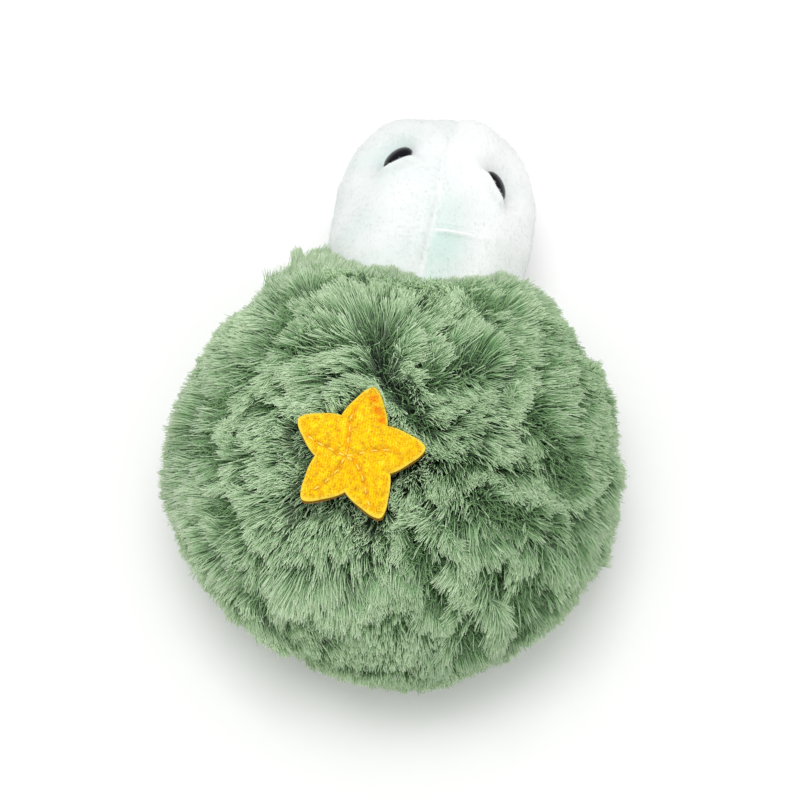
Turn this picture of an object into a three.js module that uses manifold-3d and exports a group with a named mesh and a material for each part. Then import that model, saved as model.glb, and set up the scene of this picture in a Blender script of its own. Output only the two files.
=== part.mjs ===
// A stuffed turtle with a magnet in its belly, for a steel door.
// Sizes are in millimetres. +Y runs to the head, +Z is up, and the flat belly lies on Z = 0,
// with the middle of the magnet above the origin.
import * as THREE from 'three';
import { mergeVertices } from 'three/addons/utils/BufferGeometryUtils.js';
import Module from 'manifold-3d';

const wasm = await Module();
wasm.setup();

// Clearance between pieces that touch
const gap = 0.3;

// Shell: a dome of long pile, sewn from a left and a right half
const shellRadius = 38; // to where the pile stands thick, a little inside its longest tips
const shellTop = 50; // height of the pile at the crown
const shellEquator = 24; // height of the widest ring
const shellTuck = 6; // how far the lower curve would run on below the belly
const shellLift = 0.6; // the pile stays clear of what the belly rests on
const shellFullness = 2.1; // exponent of the profile, where 2 is an ellipse
const pileDepth = 8; // over the outside of the backing
const backing = 1.6; // knitted backing of the pile, and the belly cloth
const coreTuck = 4;
const bellySeam = 6; // height at which the belly cloth is sewn to the pile

// Magnet and the pouch that holds it on the inside of the belly cloth
const magnetRadius = 10;
const magnetHeight = 3;
const pouchWall = 0.8;
const pouchFlange = 3; // width of the sewn rim round the pouch

// Head: a short-pile bell, turned and rolled a little to the right
const headWidth = 37.2;
const headHeight = 33;
const headFront = 19.2; // from the middle of the head to the nose
const headMiddle = 20; // height of the middle of the head
const headTurn = 4; // degrees, nose to the right
const headRoll = 5; // degrees, crown to the right
const headFullness = 2.3;
const neckWidth = 35.6;
const neckLength = 17; // from the front of the backing to the middle of the head
const plush = 1.8; // thickness of the short-pile cloth
const seamDepth = 0.7; // the centre seam draws the cloth in
const seamReach = 1.6;

// Eyes: domed snap eyes in hollows of the cloth
const eyeRadius = 3;
const eyeHeight = 2.2;
const eyeRim = 0.4; // straight edge under the dome
const eyeTurn = 33; // degrees round the head from the seam to each eye
const eyeForward = 4.65; // from the middle of the head
const eyeSkew = 0.45; // the left eye sits further forward than the right
const hollowDepth = 4.2;
const hollowReach = 3.6;
const hollowAhead = 3; // from the eye out to the deepest point of its hollow
const stemRadius = 0.9;
const stemLength = 7;
const ribHeight = 0.35;
const ribPitch = 1;
const ribFlank = 0.7; // share of the pitch over which a rib widens
const washerRadius = 3.6;
const washerHeight = 1;
const washerTeeth = 6;
const toothDepth = 0.6;
const toothShare = 0.8; // share of its place round the hole that a tooth takes

// Star: two felts round a pad of wadding, quilted along its five arms
const starRadius = 11;
const starNotch = 6.45; // radius of the inner corners
const starShoulder = 8.6; // radius where the sides of an arm are fullest
const shoulderTurn = 0.46; // how far round from the axis of its arm, as a share of half an arm
const tipTurn = 0.14; // the tip is rounded from here, and a little shorter there
const tipShare = 0.955;
const starX = -5.1;
const starY = -8.2;
const starTurn = -6.7; // degrees
const starSink = 1.2; // the star beds this far into the pile
const starArms = 5;
const felt = 0.6;
const starCrown = 1.5; // how far the pad lifts the front
const crownReach = 2.4; // exponents of the crown: how far out it holds, and how it meets the edge
const crownEdge = 0.7;
const padShare = 0.72; // the pad stops short of the sewn edge

// A line of stitches runs from near the middle of the star out along each arm
const stitchX = -1.3;
const stitchY = -1.3;
const stitchReach = 8.6; // how far out the lines end
const stitchDepth = 0.4; // share of the crown that the stitches pull down
const stitchWidth = 0.9;

// Facets
const shellSides = 36;
const headSides = 28;
const eyeSides = 16;
const roundSteps = 10; // along a profile from floor to crown, or from mid head to nose
const neckSteps = 4;
const domeSteps = 6;
const armSteps = 2; // to each corner of an arm's outline
const frontRings = 8; // from the middle of a star layer to its edge
const padRings = 3;
const flatRings = 2;

const coreRadius = shellRadius - pileDepth;
const coreTop = shellTop - pileDepth;
const headY = coreRadius + neckLength;
const neckRoot = coreRadius / 3; // the neck runs on this far, to where the curved backing cuts it
const halfHead = headWidth / 2;
const headFlat = headHeight / headWidth;

// Booleans

function solid(geometry, matrix = new THREE.Matrix4()) {
  const bare = geometry.clone().applyMatrix4(matrix);
  bare.deleteAttribute('normal');
  bare.deleteAttribute('uv');
  const merged = mergeVertices(bare, 1e-4);
  const corner = merged.index.array;
  const faces = [];
  for (let i = 0; i < corner.length; i += 3) {
    const [a, b, c] = [corner[i], corner[i + 1], corner[i + 2]];
    if (a !== b && b !== c && c !== a) faces.push(a, b, c);
  }
  return new wasm.Manifold(new wasm.Mesh({
    numProp: 3,
    vertProperties: new Float32Array(merged.attributes.position.array),
    triVerts: new Uint32Array(faces),
  }));
}

function geometryOf(body) {
  const mesh = body.getMesh();
  const geometry = new THREE.BufferGeometry();
  geometry.setAttribute('position', new THREE.BufferAttribute(mesh.vertProperties, 3));
  geometry.setIndex(new THREE.BufferAttribute(mesh.triVerts, 1));
  geometry.computeVertexNormals();
  return geometry;
}

// A round bar along Z from one height to another
function bar(radius, from, to, sides, matrix) {
  const rod = new THREE.CylinderGeometry(radius, radius, to - from, sides);
  return solid(rod.rotateX(Math.PI / 2).translate(0, 0, (from + to) / 2), matrix);
}

// A block that fills one side of X = 0 and stops half a gap short of it
function sideBlock(side) {
  const size = 6 * shellRadius;
  const block = new THREE.BoxGeometry(size, size, size);
  return solid(block.translate(side * (size + gap) / 2, 0, 0));
}

// Body

// A round form about Z with a full profile, cut flat at the floor
function domeGeometry(radius, top, tuck, floor) {
  const low = shellEquator + tuck;
  const high = top - shellEquator;
  const curve = 2 / shellFullness;
  const start = -Math.asin(((shellEquator - floor) / low) ** (1 / curve));
  const points = [new THREE.Vector2(0, floor)];
  for (let i = 0; i <= roundSteps; i++) {
    const angle = THREE.MathUtils.lerp(start, Math.PI / 2, i / roundSteps);
    const lift = Math.abs(Math.sin(angle)) ** curve;
    const width = i === roundSteps ? 0 : Math.cos(angle) ** curve;
    points.push(new THREE.Vector2(radius * width, shellEquator + (angle < 0 ? -low : high) * lift));
  }
  return new THREE.LatheGeometry(points, shellSides).rotateX(Math.PI / 2);
}

function coreGeometry(inset) {
  return domeGeometry(coreRadius - inset, coreTop - inset, coreTuck - inset, Math.max(inset, -gap));
}

// Height of the pile above a point of the floor
function pileHeight(x, y) {
  const share = Math.hypot(x, y) / shellRadius;
  return shellEquator + (shellTop - shellEquator) * (1 - share ** shellFullness) ** (1 / shellFullness);
}

function belowSeam(to) {
  const slab = new THREE.BoxGeometry(4 * shellRadius, 4 * shellRadius, 2 * shellRadius);
  return solid(slab.translate(0, 0, to - shellRadius));
}

// Head, in its own frame: the nose along +Y, the middle of the head at the origin

const headFrame = new THREE.Matrix4().makeRotationZ(-THREE.MathUtils.degToRad(headTurn));
headFrame.multiply(new THREE.Matrix4().makeRotationY(THREE.MathUtils.degToRad(headRoll)));
headFrame.setPosition(0, headY, headMiddle);
const toHead = headFrame.clone().invert();

// The hollow of an eye lies outward and forward of the eye itself
const eyes = [-1, 1].map((side) => {
  const y = eyeForward - side * eyeSkew;
  const x = side * headHalfWidthAt(y, 0) * Math.sin(THREE.MathUtils.degToRad(eyeTurn));
  const ahead = new THREE.Vector2(side, 1).setLength(hollowAhead);
  return { side, x, y, hollow: headSkin(x + ahead.x, y + ahead.y) };
});

function headHalfWidthAt(y, inset) {
  if (y < 0) {
    const back = Math.min(1, -y / neckLength);
    return THREE.MathUtils.lerp(halfHead, neckWidth / 2, THREE.MathUtils.smoothstep(back, 0, 1)) - inset;
  }
  const share = Math.min(1, y / (headFront - inset));
  return (halfHead - inset) * (1 - share ** headFullness) ** (1 / headFullness);
}

// The point of the plain head above (x, y)
function headSkin(x, y) {
  const width = headHalfWidthAt(y, 0);
  return new THREE.Vector3(x, y, headFlat * Math.sqrt(width * width - x * x));
}

// Draws a point of the head in at the hollows of the eyes and along the centre seam
function drawIn(point) {
  const inward = point.clone().multiply(new THREE.Vector3(-1, point.y > 0 ? -1 : 0, -1)).normalize();
  let depth = seamDepth * Math.exp(-((point.x / seamReach) ** 2));
  for (const { hollow } of eyes) {
    depth += hollowDepth * Math.exp(-point.distanceToSquared(hollow) / (2 * hollowReach ** 2));
  }
  return point.clone().addScaledVector(inward, depth);
}

// The head as a bell about Y, smaller all round by the inset and longer at the neck by the overrun
function headGeometry(inset, overrun) {
  const back = neckLength + neckRoot + overrun;
  const points = [new THREE.Vector2(0, -back)];
  for (let i = 0; i < neckSteps; i++) {
    const y = -back * (1 - i / neckSteps);
    points.push(new THREE.Vector2(headHalfWidthAt(y, inset), y));
  }
  const curve = 2 / headFullness;
  for (let i = 0; i <= roundSteps; i++) {
    const angle = (Math.PI / 2) * (i / roundSteps);
    const width = i === roundSteps ? 0 : Math.cos(angle) ** curve;
    const forward = Math.sin(angle) ** curve;
    points.push(new THREE.Vector2((halfHead - inset) * width, (headFront - inset) * forward));
  }
  const geometry = new THREE.LatheGeometry(points, headSides);
  const position = geometry.attributes.position;
  const flat = (headHeight / 2 - inset) / (halfHead - inset);
  for (let i = 0; i < position.count; i++) {
    const point = new THREE.Vector3().fromBufferAttribute(position, i);
    point.z *= flat;
    position.setXYZ(i, ...drawIn(point));
  }
  return geometry;
}

// Frame of an eye: its flat back on the cloth, its dome along +Z
function eyeFrame({ x, y }) {
  const step = 0.5;
  const at = (dx, dy) => drawIn(headSkin(x + dx, y + dy));
  const across = at(step, 0).sub(at(-step, 0));
  const along = at(0, step).sub(at(0, -step));
  const out = across.cross(along).normalize();
  const turn = new THREE.Quaternion().setFromUnitVectors(new THREE.Vector3(0, 0, 1), out);
  return new THREE.Matrix4().compose(at(0, 0), turn, new THREE.Vector3(1, 1, 1));
}

// A domed eye with a ribbed stem, turned as one piece
function eyeGeometry() {
  const points = [new THREE.Vector2(0, -stemLength)];
  const ribs = Math.floor((stemLength - plush - gap) / ribPitch);
  for (let i = 0; i < ribs; i++) {
    const y = -stemLength + i * ribPitch;
    points.push(new THREE.Vector2(stemRadius - ribHeight / 2, y));
    points.push(new THREE.Vector2(stemRadius + ribHeight / 2, y + ribPitch * ribFlank));
  }
  points.push(new THREE.Vector2(stemRadius, -stemLength + ribs * ribPitch));
  points.push(new THREE.Vector2(stemRadius, 0));
  points.push(new THREE.Vector2(eyeRadius, 0));
  const domeHeight = eyeHeight - eyeRim;
  for (let i = 0; i <= domeSteps; i++) {
    const angle = (Math.PI / 2) * (i / domeSteps);
    const width = i === domeSteps ? 0 : Math.cos(angle);
    points.push(new THREE.Vector2(eyeRadius * width, eyeRim + domeHeight * Math.sin(angle)));
  }
  return new THREE.LatheGeometry(points, eyeSides).rotateX(Math.PI / 2);
}

// A push-on washer whose teeth point at the stem
function washerGeometry() {
  const shape = new THREE.Shape().absarc(0, 0, washerRadius, 0, 2 * Math.PI);
  const hole = new THREE.Path();
  const inner = stemRadius + ribHeight / 2 + gap;
  const half = Math.PI / washerTeeth / 2;
  for (let i = 0; i < 2 * washerTeeth; i++) {
    const middle = 2 * i * half;
    const radius = i % 2 ? inner : inner + toothDepth;
    for (const angle of [middle - half * toothShare, middle + half * toothShare]) {
      const corner = [radius * Math.cos(angle), radius * Math.sin(angle)];
      if (i === 0 && angle < middle) hole.moveTo(...corner);
      else hole.lineTo(...corner);
    }
  }
  hole.closePath();
  shape.holes.push(hole);
  const options = { depth: washerHeight, bevelEnabled: false, curveSegments: eyeSides };
  return new THREE.ExtrudeGeometry(shape, options);
}

// Star

// Outline of the star: five full arms that meet in sharp corners
function starOutline(grow) {
  const shape = new THREE.Shape();
  const at = (radius, degrees) => {
    const angle = THREE.MathUtils.degToRad(degrees);
    return new THREE.Vector2((radius + grow) * Math.cos(angle), (radius + grow) * Math.sin(angle));
  };
  const halfArm = 180 / starArms;
  for (let arm = 0; arm < starArms; arm++) {
    const axis = 90 + arm * 2 * halfArm;
    if (arm === 0) shape.moveTo(...at(starNotch, axis - halfArm));
    shape.splineThru([
      at(starShoulder, axis - shoulderTurn * halfArm),
      at(starRadius * tipShare, axis - tipTurn * halfArm),
      at(starRadius, axis),
      at(starRadius * tipShare, axis + tipTurn * halfArm),
      at(starShoulder, axis + shoulderTurn * halfArm),
      at(starNotch, axis + halfArm),
    ]);
  }
  return shape.getPoints(armSteps).slice(0, -1);
}

const stitchLines = Array.from({ length: starArms }, (_, arm) => {
  const angle = Math.PI / 2 + (arm * 2 * Math.PI) / starArms;
  const end = new THREE.Vector3(stitchReach * Math.cos(angle), stitchReach * Math.sin(angle), 0);
  return new THREE.Line3(new THREE.Vector3(stitchX, stitchY, 0), end);
});

// How far the wadding lifts the felt: share 0 is the middle, share 1 the sewn edge
function crownAt(x, y, share) {
  const swell = starCrown * (1 - share ** crownReach) ** crownEdge;
  const point = new THREE.Vector3(x, y, 0);
  const nearest = new THREE.Vector3();
  const aways = stitchLines.map((line) => line.closestPointToPoint(point, true, nearest).distanceTo(point));
  const away = Math.min(...aways);
  return swell * (1 - stitchDepth * Math.exp(-((away / stitchWidth) ** 2)));
}

// One layer of the star, closed round its edge and draped over the dome
function starLayer(rings, reach, grow, under, over) {
  const outline = starOutline(grow);
  const count = outline.length;
  const turn = THREE.MathUtils.degToRad(starTurn);
  const positions = [];
  const place = (corner, share, height) => {
    const spot = corner.clone().multiplyScalar(share);
    const lift = height(spot.x, spot.y, share);
    spot.rotateAround(new THREE.Vector2(), turn);
    const seat = pileHeight(starX + spot.x, starY + spot.y) - starSink;
    positions.push(starX + spot.x, starY + spot.y, seat + lift);
  };
  const faces = [];
  for (const height of [under, over]) {
    place(outline[0], 0, height);
    for (let ring = 1; ring <= rings; ring++) {
      for (const corner of outline) place(corner, reach * Math.sin((ring / rings) * Math.PI / 2), height);
    }
  }
  const top = 1 + rings * count;
  for (const [first, flip] of [[0, true], [top, false]]) {
    for (let i = 0; i < count; i++) {
      const next = (i + 1) % count;
      const tri = (a, b, c) => faces.push(...(flip ? [a, c, b] : [a, b, c]));
      tri(first, first + 1 + i, first + 1 + next);
      for (let ring = 1; ring < rings; ring++) {
        const inner = first + 1 + (ring - 1) * count;
        const outer = inner + count;
        tri(inner + i, outer + i, outer + next);
        tri(inner + i, outer + next, inner + next);
      }
    }
  }
  for (let i = 0; i < count; i++) {
    const next = (i + 1) % count;
    const low = 1 + (rings - 1) * count;
    const high = top + low;
    faces.push(low + i, low + next, high + next, low + i, high + next, high + i);
  }
  const geometry = new THREE.BufferGeometry();
  geometry.setAttribute('position', new THREE.Float32BufferAttribute(positions, 3));
  geometry.setIndex(faces);
  geometry.computeVertexNormals();
  return geometry;
}

const frontUnder = (x, y, share) => felt + gap + crownAt(x, y, share);
const frontOver = (x, y, share) => frontUnder(x, y, share) + felt;

// Pieces cut by the larger ones

const headInBody = solid(headGeometry(-gap, 0), headFrame);
const neckBore = headInBody.subtract(solid(coreGeometry(0)));
const starPocket = solid(starLayer(flatRings, 1, gap, () => -gap, () => shellTop));
const shell = solid(domeGeometry(shellRadius, shellTop, shellTuck, shellLift))
  .subtract(solid(coreGeometry(backing)))
  .subtract(solid(coreGeometry(-gap)).intersect(belowSeam(bellySeam + gap / 2)))
  .subtract(neckBore)
  .subtract(starPocket);

const bellyCloth = solid(coreGeometry(0))
  .subtract(solid(coreGeometry(backing)))
  .intersect(belowSeam(bellySeam - gap / 2));

const magnetSeat = backing + gap;
const pouchBore = magnetRadius + gap;
const pouchRoof = magnetSeat + magnetHeight + gap;
const pouchRadius = pouchBore + pouchWall;
const bodyStuffing = solid(coreGeometry(backing + gap))
  .subtract(bar(pouchRadius + gap, 0, pouchRoof + pouchWall + gap, shellSides))
  .subtract(bar(pouchRadius + pouchFlange + gap, 0, magnetSeat + pouchWall + gap, shellSides));

function pouchGeometry() {
  const outline = [
    [0, pouchRoof],
    [pouchBore, pouchRoof],
    [pouchBore, magnetSeat],
    [pouchRadius + pouchFlange, magnetSeat],
    [pouchRadius + pouchFlange, magnetSeat + pouchWall],
    [pouchRadius, magnetSeat + pouchWall],
    [pouchRadius, pouchRoof + pouchWall],
    [0, pouchRoof + pouchWall],
  ].map(([x, y]) => new THREE.Vector2(x, y));
  return new THREE.LatheGeometry(outline, shellSides).rotateX(Math.PI / 2);
}

const behindNeck = solid(coreGeometry(-gap), toHead);
const eyeFrames = eyes.map(eyeFrame);
const washerTop = -plush - gap;
let headCloth = solid(headGeometry(0, 0)).subtract(solid(headGeometry(plush, gap))).subtract(behindNeck);
let headStuffing = solid(headGeometry(plush + gap, -gap)).subtract(behindNeck);
for (const frame of eyeFrames) {
  const stemHole = stemRadius + ribHeight / 2 + gap;
  headCloth = headCloth
    .subtract(bar(eyeRadius + gap, -gap, 2 * eyeRadius, eyeSides, frame))
    .subtract(bar(washerRadius + gap, -stemLength, -plush, eyeSides, frame))
    .subtract(bar(stemHole, -stemLength, 0, eyeSides, frame));
  headStuffing = headStuffing
    .subtract(bar(washerRadius + gap, washerTop - washerHeight - gap, 2 * eyeRadius, eyeSides, frame))
    .subtract(bar(stemHole, -stemLength - gap, 0, eyeSides, frame));
}

// Colours and finishes

const greenPile = new THREE.MeshStandardMaterial({ color: 0x819f77, roughness: 0.95 });
const mintPlush = new THREE.MeshStandardMaterial({ color: 0xe6f3ee, roughness: 0.9 });
const yellowFelt = new THREE.MeshStandardMaterial({ color: 0xf7cc1c, roughness: 0.92 });
const blackPlastic = new THREE.MeshStandardMaterial({ color: 0x0b0b0e, roughness: 0.08 });
const clearPlastic = new THREE.MeshStandardMaterial({ color: 0xe9ebe8, roughness: 0.4 });
const polyester = new THREE.MeshStandardMaterial({ color: 0xf6f6f2, roughness: 1 });
const pouchCloth = new THREE.MeshStandardMaterial({ color: 0xd9dad5, roughness: 0.95 });
const ferrite = new THREE.MeshStandardMaterial({ color: 0x2f3033, roughness: 0.55, metalness: 0.3 });

function piece(name, geometry, material, parent) {
  const mesh = new THREE.Mesh(geometry, material);
  mesh.name = name;
  parent.add(mesh);
  return mesh;
}

const turtle = new THREE.Group();
const head = new THREE.Group();
head.applyMatrix4(headFrame);
turtle.add(head);

for (const [side, hand] of [[-1, 'left'], [1, 'right']]) {
  const half = sideBlock(side);
  piece(`shell_cover_${hand}`, geometryOf(shell.intersect(half)), greenPile, turtle);
  piece(`head_cover_${hand}`, geometryOf(headCloth.intersect(half)), mintPlush, head);
}
piece('belly_panel', geometryOf(bellyCloth), mintPlush, turtle);
piece('body_stuffing', geometryOf(bodyStuffing), polyester, turtle);
const disc = new THREE.CylinderGeometry(magnetRadius, magnetRadius, magnetHeight, shellSides);
piece('magnet_disc', disc.rotateX(Math.PI / 2), ferrite, turtle).position.z = magnetSeat + magnetHeight / 2;
piece('magnet_pouch', pouchGeometry(), pouchCloth, turtle);

piece('head_stuffing', geometryOf(headStuffing), polyester, head);
eyes.forEach(({ side }, i) => {
  const hand = side < 0 ? 'left' : 'right';
  const seat = new THREE.Group();
  seat.applyMatrix4(eyeFrames[i]);
  head.add(seat);
  piece(`eye_${hand}`, eyeGeometry(), blackPlastic, seat);
  piece(`eye_washer_${hand}`, washerGeometry(), clearPlastic, seat).position.z = washerTop - washerHeight;
});

const padUnder = () => felt + gap;
const padOver = (x, y, share) => frontUnder(x, y, share) - gap;
piece('star_backing', starLayer(flatRings, 1, 0, () => 0, () => felt), yellowFelt, turtle);
piece('star_wadding', starLayer(padRings, padShare, 0, padUnder, padOver), polyester, turtle);
piece('star_front', starLayer(frontRings, 1, 0, frontUnder, frontOver), yellowFelt, turtle);

export default turtle;
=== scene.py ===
import math
import bpy
import numpy as np
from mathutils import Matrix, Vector
from mathutils.kdtree import KDTree


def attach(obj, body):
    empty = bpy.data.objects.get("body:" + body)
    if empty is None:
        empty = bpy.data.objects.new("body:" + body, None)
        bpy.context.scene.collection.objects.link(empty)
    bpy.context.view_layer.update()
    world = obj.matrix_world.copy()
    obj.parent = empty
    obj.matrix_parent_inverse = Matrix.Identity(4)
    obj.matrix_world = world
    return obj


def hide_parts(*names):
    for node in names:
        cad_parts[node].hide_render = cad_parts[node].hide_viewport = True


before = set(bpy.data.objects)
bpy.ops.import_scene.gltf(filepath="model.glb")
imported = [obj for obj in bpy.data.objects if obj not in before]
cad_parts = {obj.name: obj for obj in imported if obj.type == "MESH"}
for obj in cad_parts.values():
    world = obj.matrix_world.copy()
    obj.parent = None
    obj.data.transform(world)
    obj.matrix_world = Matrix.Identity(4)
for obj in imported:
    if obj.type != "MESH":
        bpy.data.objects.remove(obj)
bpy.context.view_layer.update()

# All shapes below are worked out in millimetres and turned to metres when a mesh is made.
mm = 0.001


# helpers
def linear(hexColour):
    parts = [int(hexColour[i:i + 2], 16) / 255 for i in (0, 2, 4)]
    return [c / 12.92 if c <= 0.04045 else ((c + 0.055) / 1.055) ** 2.4 for c in parts] + [1.0]


def addNode(tree, kind, settings={}, links={}):
    node = tree.nodes.new(kind)
    for key, value in settings.items():
        if isinstance(key, int) or key in node.inputs:
            node.inputs[key].default_value = value
        else:
            setattr(node, key, value)
    for key, socket in links.items():
        tree.links.new(socket, node.inputs[key])
    return node


def newMaterial(name, settings):
    material = bpy.data.materials.new(name)
    material.use_nodes = True
    tree = material.node_tree
    shader = tree.nodes["Principled BSDF"]
    for key, value in settings.items():
        shader.inputs[key].default_value = value
    return material, tree, shader


def makeMesh(name, points, faces, material):
    mesh = bpy.data.meshes.new(name)
    faces = np.asarray(faces, np.int32)
    corners = faces.shape[1]
    mesh.vertices.add(len(points))
    mesh.vertices.foreach_set("co", (np.asarray(points, np.float32) * mm).ravel())
    mesh.loops.add(faces.size)
    mesh.loops.foreach_set("vertex_index", faces.ravel())
    mesh.polygons.add(len(faces))
    mesh.polygons.foreach_set("loop_start", np.arange(0, faces.size, corners, dtype=np.int32))
    mesh.polygons.foreach_set("use_smooth", np.full(len(faces), True))
    mesh.update(calc_edges=True)
    mesh.materials.append(material)
    piece = bpy.data.objects.new(name, mesh)
    bpy.context.scene.collection.objects.link(piece)
    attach(piece, "root")
    return piece


def unit(vectors):
    return vectors / np.maximum(np.linalg.norm(vectors, axis=-1, keepdims=True), 1e-9)


def tangent(vectors, normals):
    return vectors - normals * (vectors * normals).sum(-1, keepdims=True)


def gridFaces(rows, columns, flip=False):
    r, c = np.meshgrid(np.arange(rows - 1), np.arange(columns), indexing="ij")
    a = r * columns + c
    b = r * columns + (c + 1) % columns
    quads = np.stack([a, b, b + columns, a + columns], -1).reshape(-1, 4)
    return quads[:, ::-1] if flip else quads


def closedStrip(points, flip=True):
    # faces of a strip of rings, with the small openings at both ends filled
    rows, columns = points.shape[:2]
    quads = gridFaces(rows, columns, flip=flip)
    c = np.arange(1, columns - 1, 2)
    first = np.stack([0 * c, c, c + 1, (c + 2) % columns], -1)
    last = first + (rows - 1) * columns
    first, last = (first, last[:, ::-1]) if flip else (first[:, ::-1], last)
    return np.concatenate([quads, first, last])


def bell(off, reach):
    return np.exp(-(off / reach) ** 2)


def addShade(piece, name, values):
    layer = piece.data.attributes.new(name, "FLOAT", "POINT")
    layer.data.foreach_set("value", np.asarray(values, np.float32).ravel())


def nearest(points, centres):
    tree = KDTree(len(centres))
    for i, centre in enumerate(centres):
        tree.insert(centre, i)
    tree.balance()
    return np.array([tree.find(point)[1] for point in points])


# Soft covers blown up by their filling: a grid of rings is simulated as cloth at ten times its size, where
# the solver is steady, and hold is 1 where thread pins it. The result says how far each point moves.
clothScale = 10
clothSettings = {
    "quality": 6,
    "mass": 0.2,
    "tension_stiffness": 8,
    "compression_stiffness": 8,
    "shear_stiffness": 3,
    "bending_stiffness": 0.3,
    "vertex_group_mass": "hold",
    "use_pressure": True,
}
clothFrames = 20


def inflate(grid, hold, step, pressure, cap, flip=False):
    coarse = grid[::step, ::step]
    pinned = hold[::step, ::step].ravel()
    mesh = bpy.data.meshes.new("cover")
    places = coarse.reshape(-1, 3) * mm * clothScale
    mesh.from_pydata(places.tolist(), [], closedStrip(coarse, flip).tolist())
    cover = bpy.data.objects.new("cover", mesh)
    bpy.context.scene.collection.objects.link(cover)
    pins = cover.vertex_groups.new(name="hold")
    for weight in np.unique(pinned[pinned > 0]):
        pins.add(np.flatnonzero(pinned == weight).tolist(), float(weight), "REPLACE")
    cloth = cover.modifiers.new("Cloth", "CLOTH")
    for key, value in clothSettings.items():
        setattr(cloth.settings, key, value)
    cloth.settings.uniform_pressure_force = pressure
    cloth.settings.effector_weights.gravity = 0
    cloth.point_cache.frame_start = 1
    cloth.point_cache.frame_end = clothFrames
    for moment in range(1, clothFrames + 1):
        bpy.context.scene.frame_set(moment)
    shape = cover.evaluated_get(bpy.context.evaluated_depsgraph_get()).data
    moved = np.empty(coarse.size, np.float32)
    shape.vertices.foreach_get("co", moved)
    moved = moved.reshape(coarse.shape) / (mm * clothScale) - coarse
    bpy.data.objects.remove(cover)
    bpy.data.meshes.remove(mesh)
    bpy.context.scene.frame_set(1)
    far = np.linalg.norm(moved, axis=-1, keepdims=True)
    print("cover blown up: points moved", round(float(far.mean()), 2), "mm at the mean,",
          round(float(far.max()), 2), "mm at most")
    moved = moved * np.minimum(1, cap / np.maximum(far, 1e-9))
    return finer(moved, *grid.shape[:2])


def finer(grid, rows, columns):
    # smooth points between those of a closed strip of rings
    def blend(values, at, wrap):
        low = np.floor(at).astype(int)
        t = (at - low).reshape(-1, 1, 1)
        weights = [(1 - t) ** 3, 3 * t ** 3 - 6 * t ** 2 + 4, -3 * t ** 3 + 3 * t ** 2 + 3 * t + 1, t ** 3]
        size = len(values)
        index = [(low + k) % size if wrap else np.clip(low + k, 0, size - 1) for k in (-1, 0, 1, 2)]
        return sum(w * values[i] for w, i in zip(weights, index)) / 6

    grid = blend(grid, np.linspace(0, len(grid) - 1, rows), False)
    around = np.arange(columns) * grid.shape[1] / columns
    return blend(grid.transpose(1, 0, 2), around, True).transpose(1, 0, 2)


# A mesh of fine closed fibres: paths is (fibre, point, 3), widths (fibre, point), tones 0 to 1.
toneColumns = 24


def fibreMesh(name, paths, widths, tones, material, sides=3):
    count, steps = paths.shape[:2]
    along = np.empty_like(paths)
    along[:, 1:-1] = paths[:, 2:] - paths[:, :-2]
    along[:, 0] = paths[:, 1] - paths[:, 0]
    along[:, -1] = paths[:, -1] - paths[:, -2]
    along = unit(along)
    chord = unit(paths[:, -1] - paths[:, 0])[:, None]
    bend = unit(np.cross(chord, np.array([0.31, 0.17, 0.93])))
    across = unit(np.cross(along, np.broadcast_to(bend, along.shape)))
    other = np.cross(along, across)
    turn = np.arange(sides) * 2 * np.pi / sides
    ring = across[:, :, None] * np.cos(turn)[:, None] + other[:, :, None] * np.sin(turn)[:, None]
    points = paths[:, :, None] + ring * (widths / 2)[:, :, None, None]
    points = points.reshape(-1, 3)
    base = (np.arange(count) * steps * sides)[:, None, None, None]
    step = (np.arange(steps - 1) * sides)[None, :, None, None]
    side = np.arange(sides)[None, None, :, None]
    after = (np.arange(sides)[None, None, :, None] + 1) % sides
    a, b = base + step + side, base + step + after
    quads = np.concatenate([a, b, b + sides, a + sides], -1)
    walls = np.stack([quads[..., [0, 1, 2]], quads[..., [0, 2, 3]]], -2).reshape(-1, 3)
    first = (np.arange(count) * steps * sides)[:, None]
    rootCap = first + np.array([0, 2, 1])
    tipCap = first + (steps - 1) * sides + np.array([0, 1, 2])
    faces = np.concatenate([walls, rootCap, tipCap])
    piece = makeMesh(name, points, faces, material)
    # the map gives each fibre a column of the tones, and runs from 0 at its root to 1 at its tip
    column = np.clip((tones * toneColumns).astype(int), 0, toneColumns - 1)
    left, right = (column + 0.1) / toneColumns, (column + 0.9) / toneColumns
    places = np.arange(steps)[None, :, None] / (steps - 1)
    low, high = places[:, :-1], places[:, 1:]
    corners = [np.stack(np.broadcast_arrays(u[:, None, None], v, np.empty(sides))[:2], -1)
               for u, v in ((left, low), (right, low), (right, high), (left, high))]
    uv = [np.stack([np.stack([corners[i] for i in triangle], -2) for triangle in ((0, 1, 2), (0, 2, 3))], -3)]
    for end, inward in ((0.0, 0.04), (1.0, -0.04)):
        level = left * 0 + end
        uv.append(np.stack([left, level, right, level, left, level + inward], -1))
    uv = np.concatenate([part.reshape(-1, 2) for part in uv])
    layer = piece.data.uv_layers.new(name="OFBake")
    layer.data.foreach_set("uv", uv.astype(np.float32).ravel())
    return piece


def pilePieces(name, order, most, paths, widths, tones, material):
    # meshes of at most so many fibres, by their place round the toy
    for number, part in enumerate(np.array_split(order, math.ceil(len(order) / most))):
        piece = fibreMesh(f"{name}_{number + 1:02d}", paths[part], widths[part], tones[part], material)


def smoothNoise(points, seed, scale):
    # a few sine waves in random directions: a soft, repeatable field between about -1 and 1
    waves = np.random.default_rng(seed)
    total = 0
    for _ in range(5):
        direction = unit(waves.normal(size=3)) / scale * waves.uniform(0.6, 1.7)
        total = total + np.sin(points @ direction * 2 * np.pi + waves.uniform(0, 2 * np.pi))
    return total / 2.6


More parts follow.
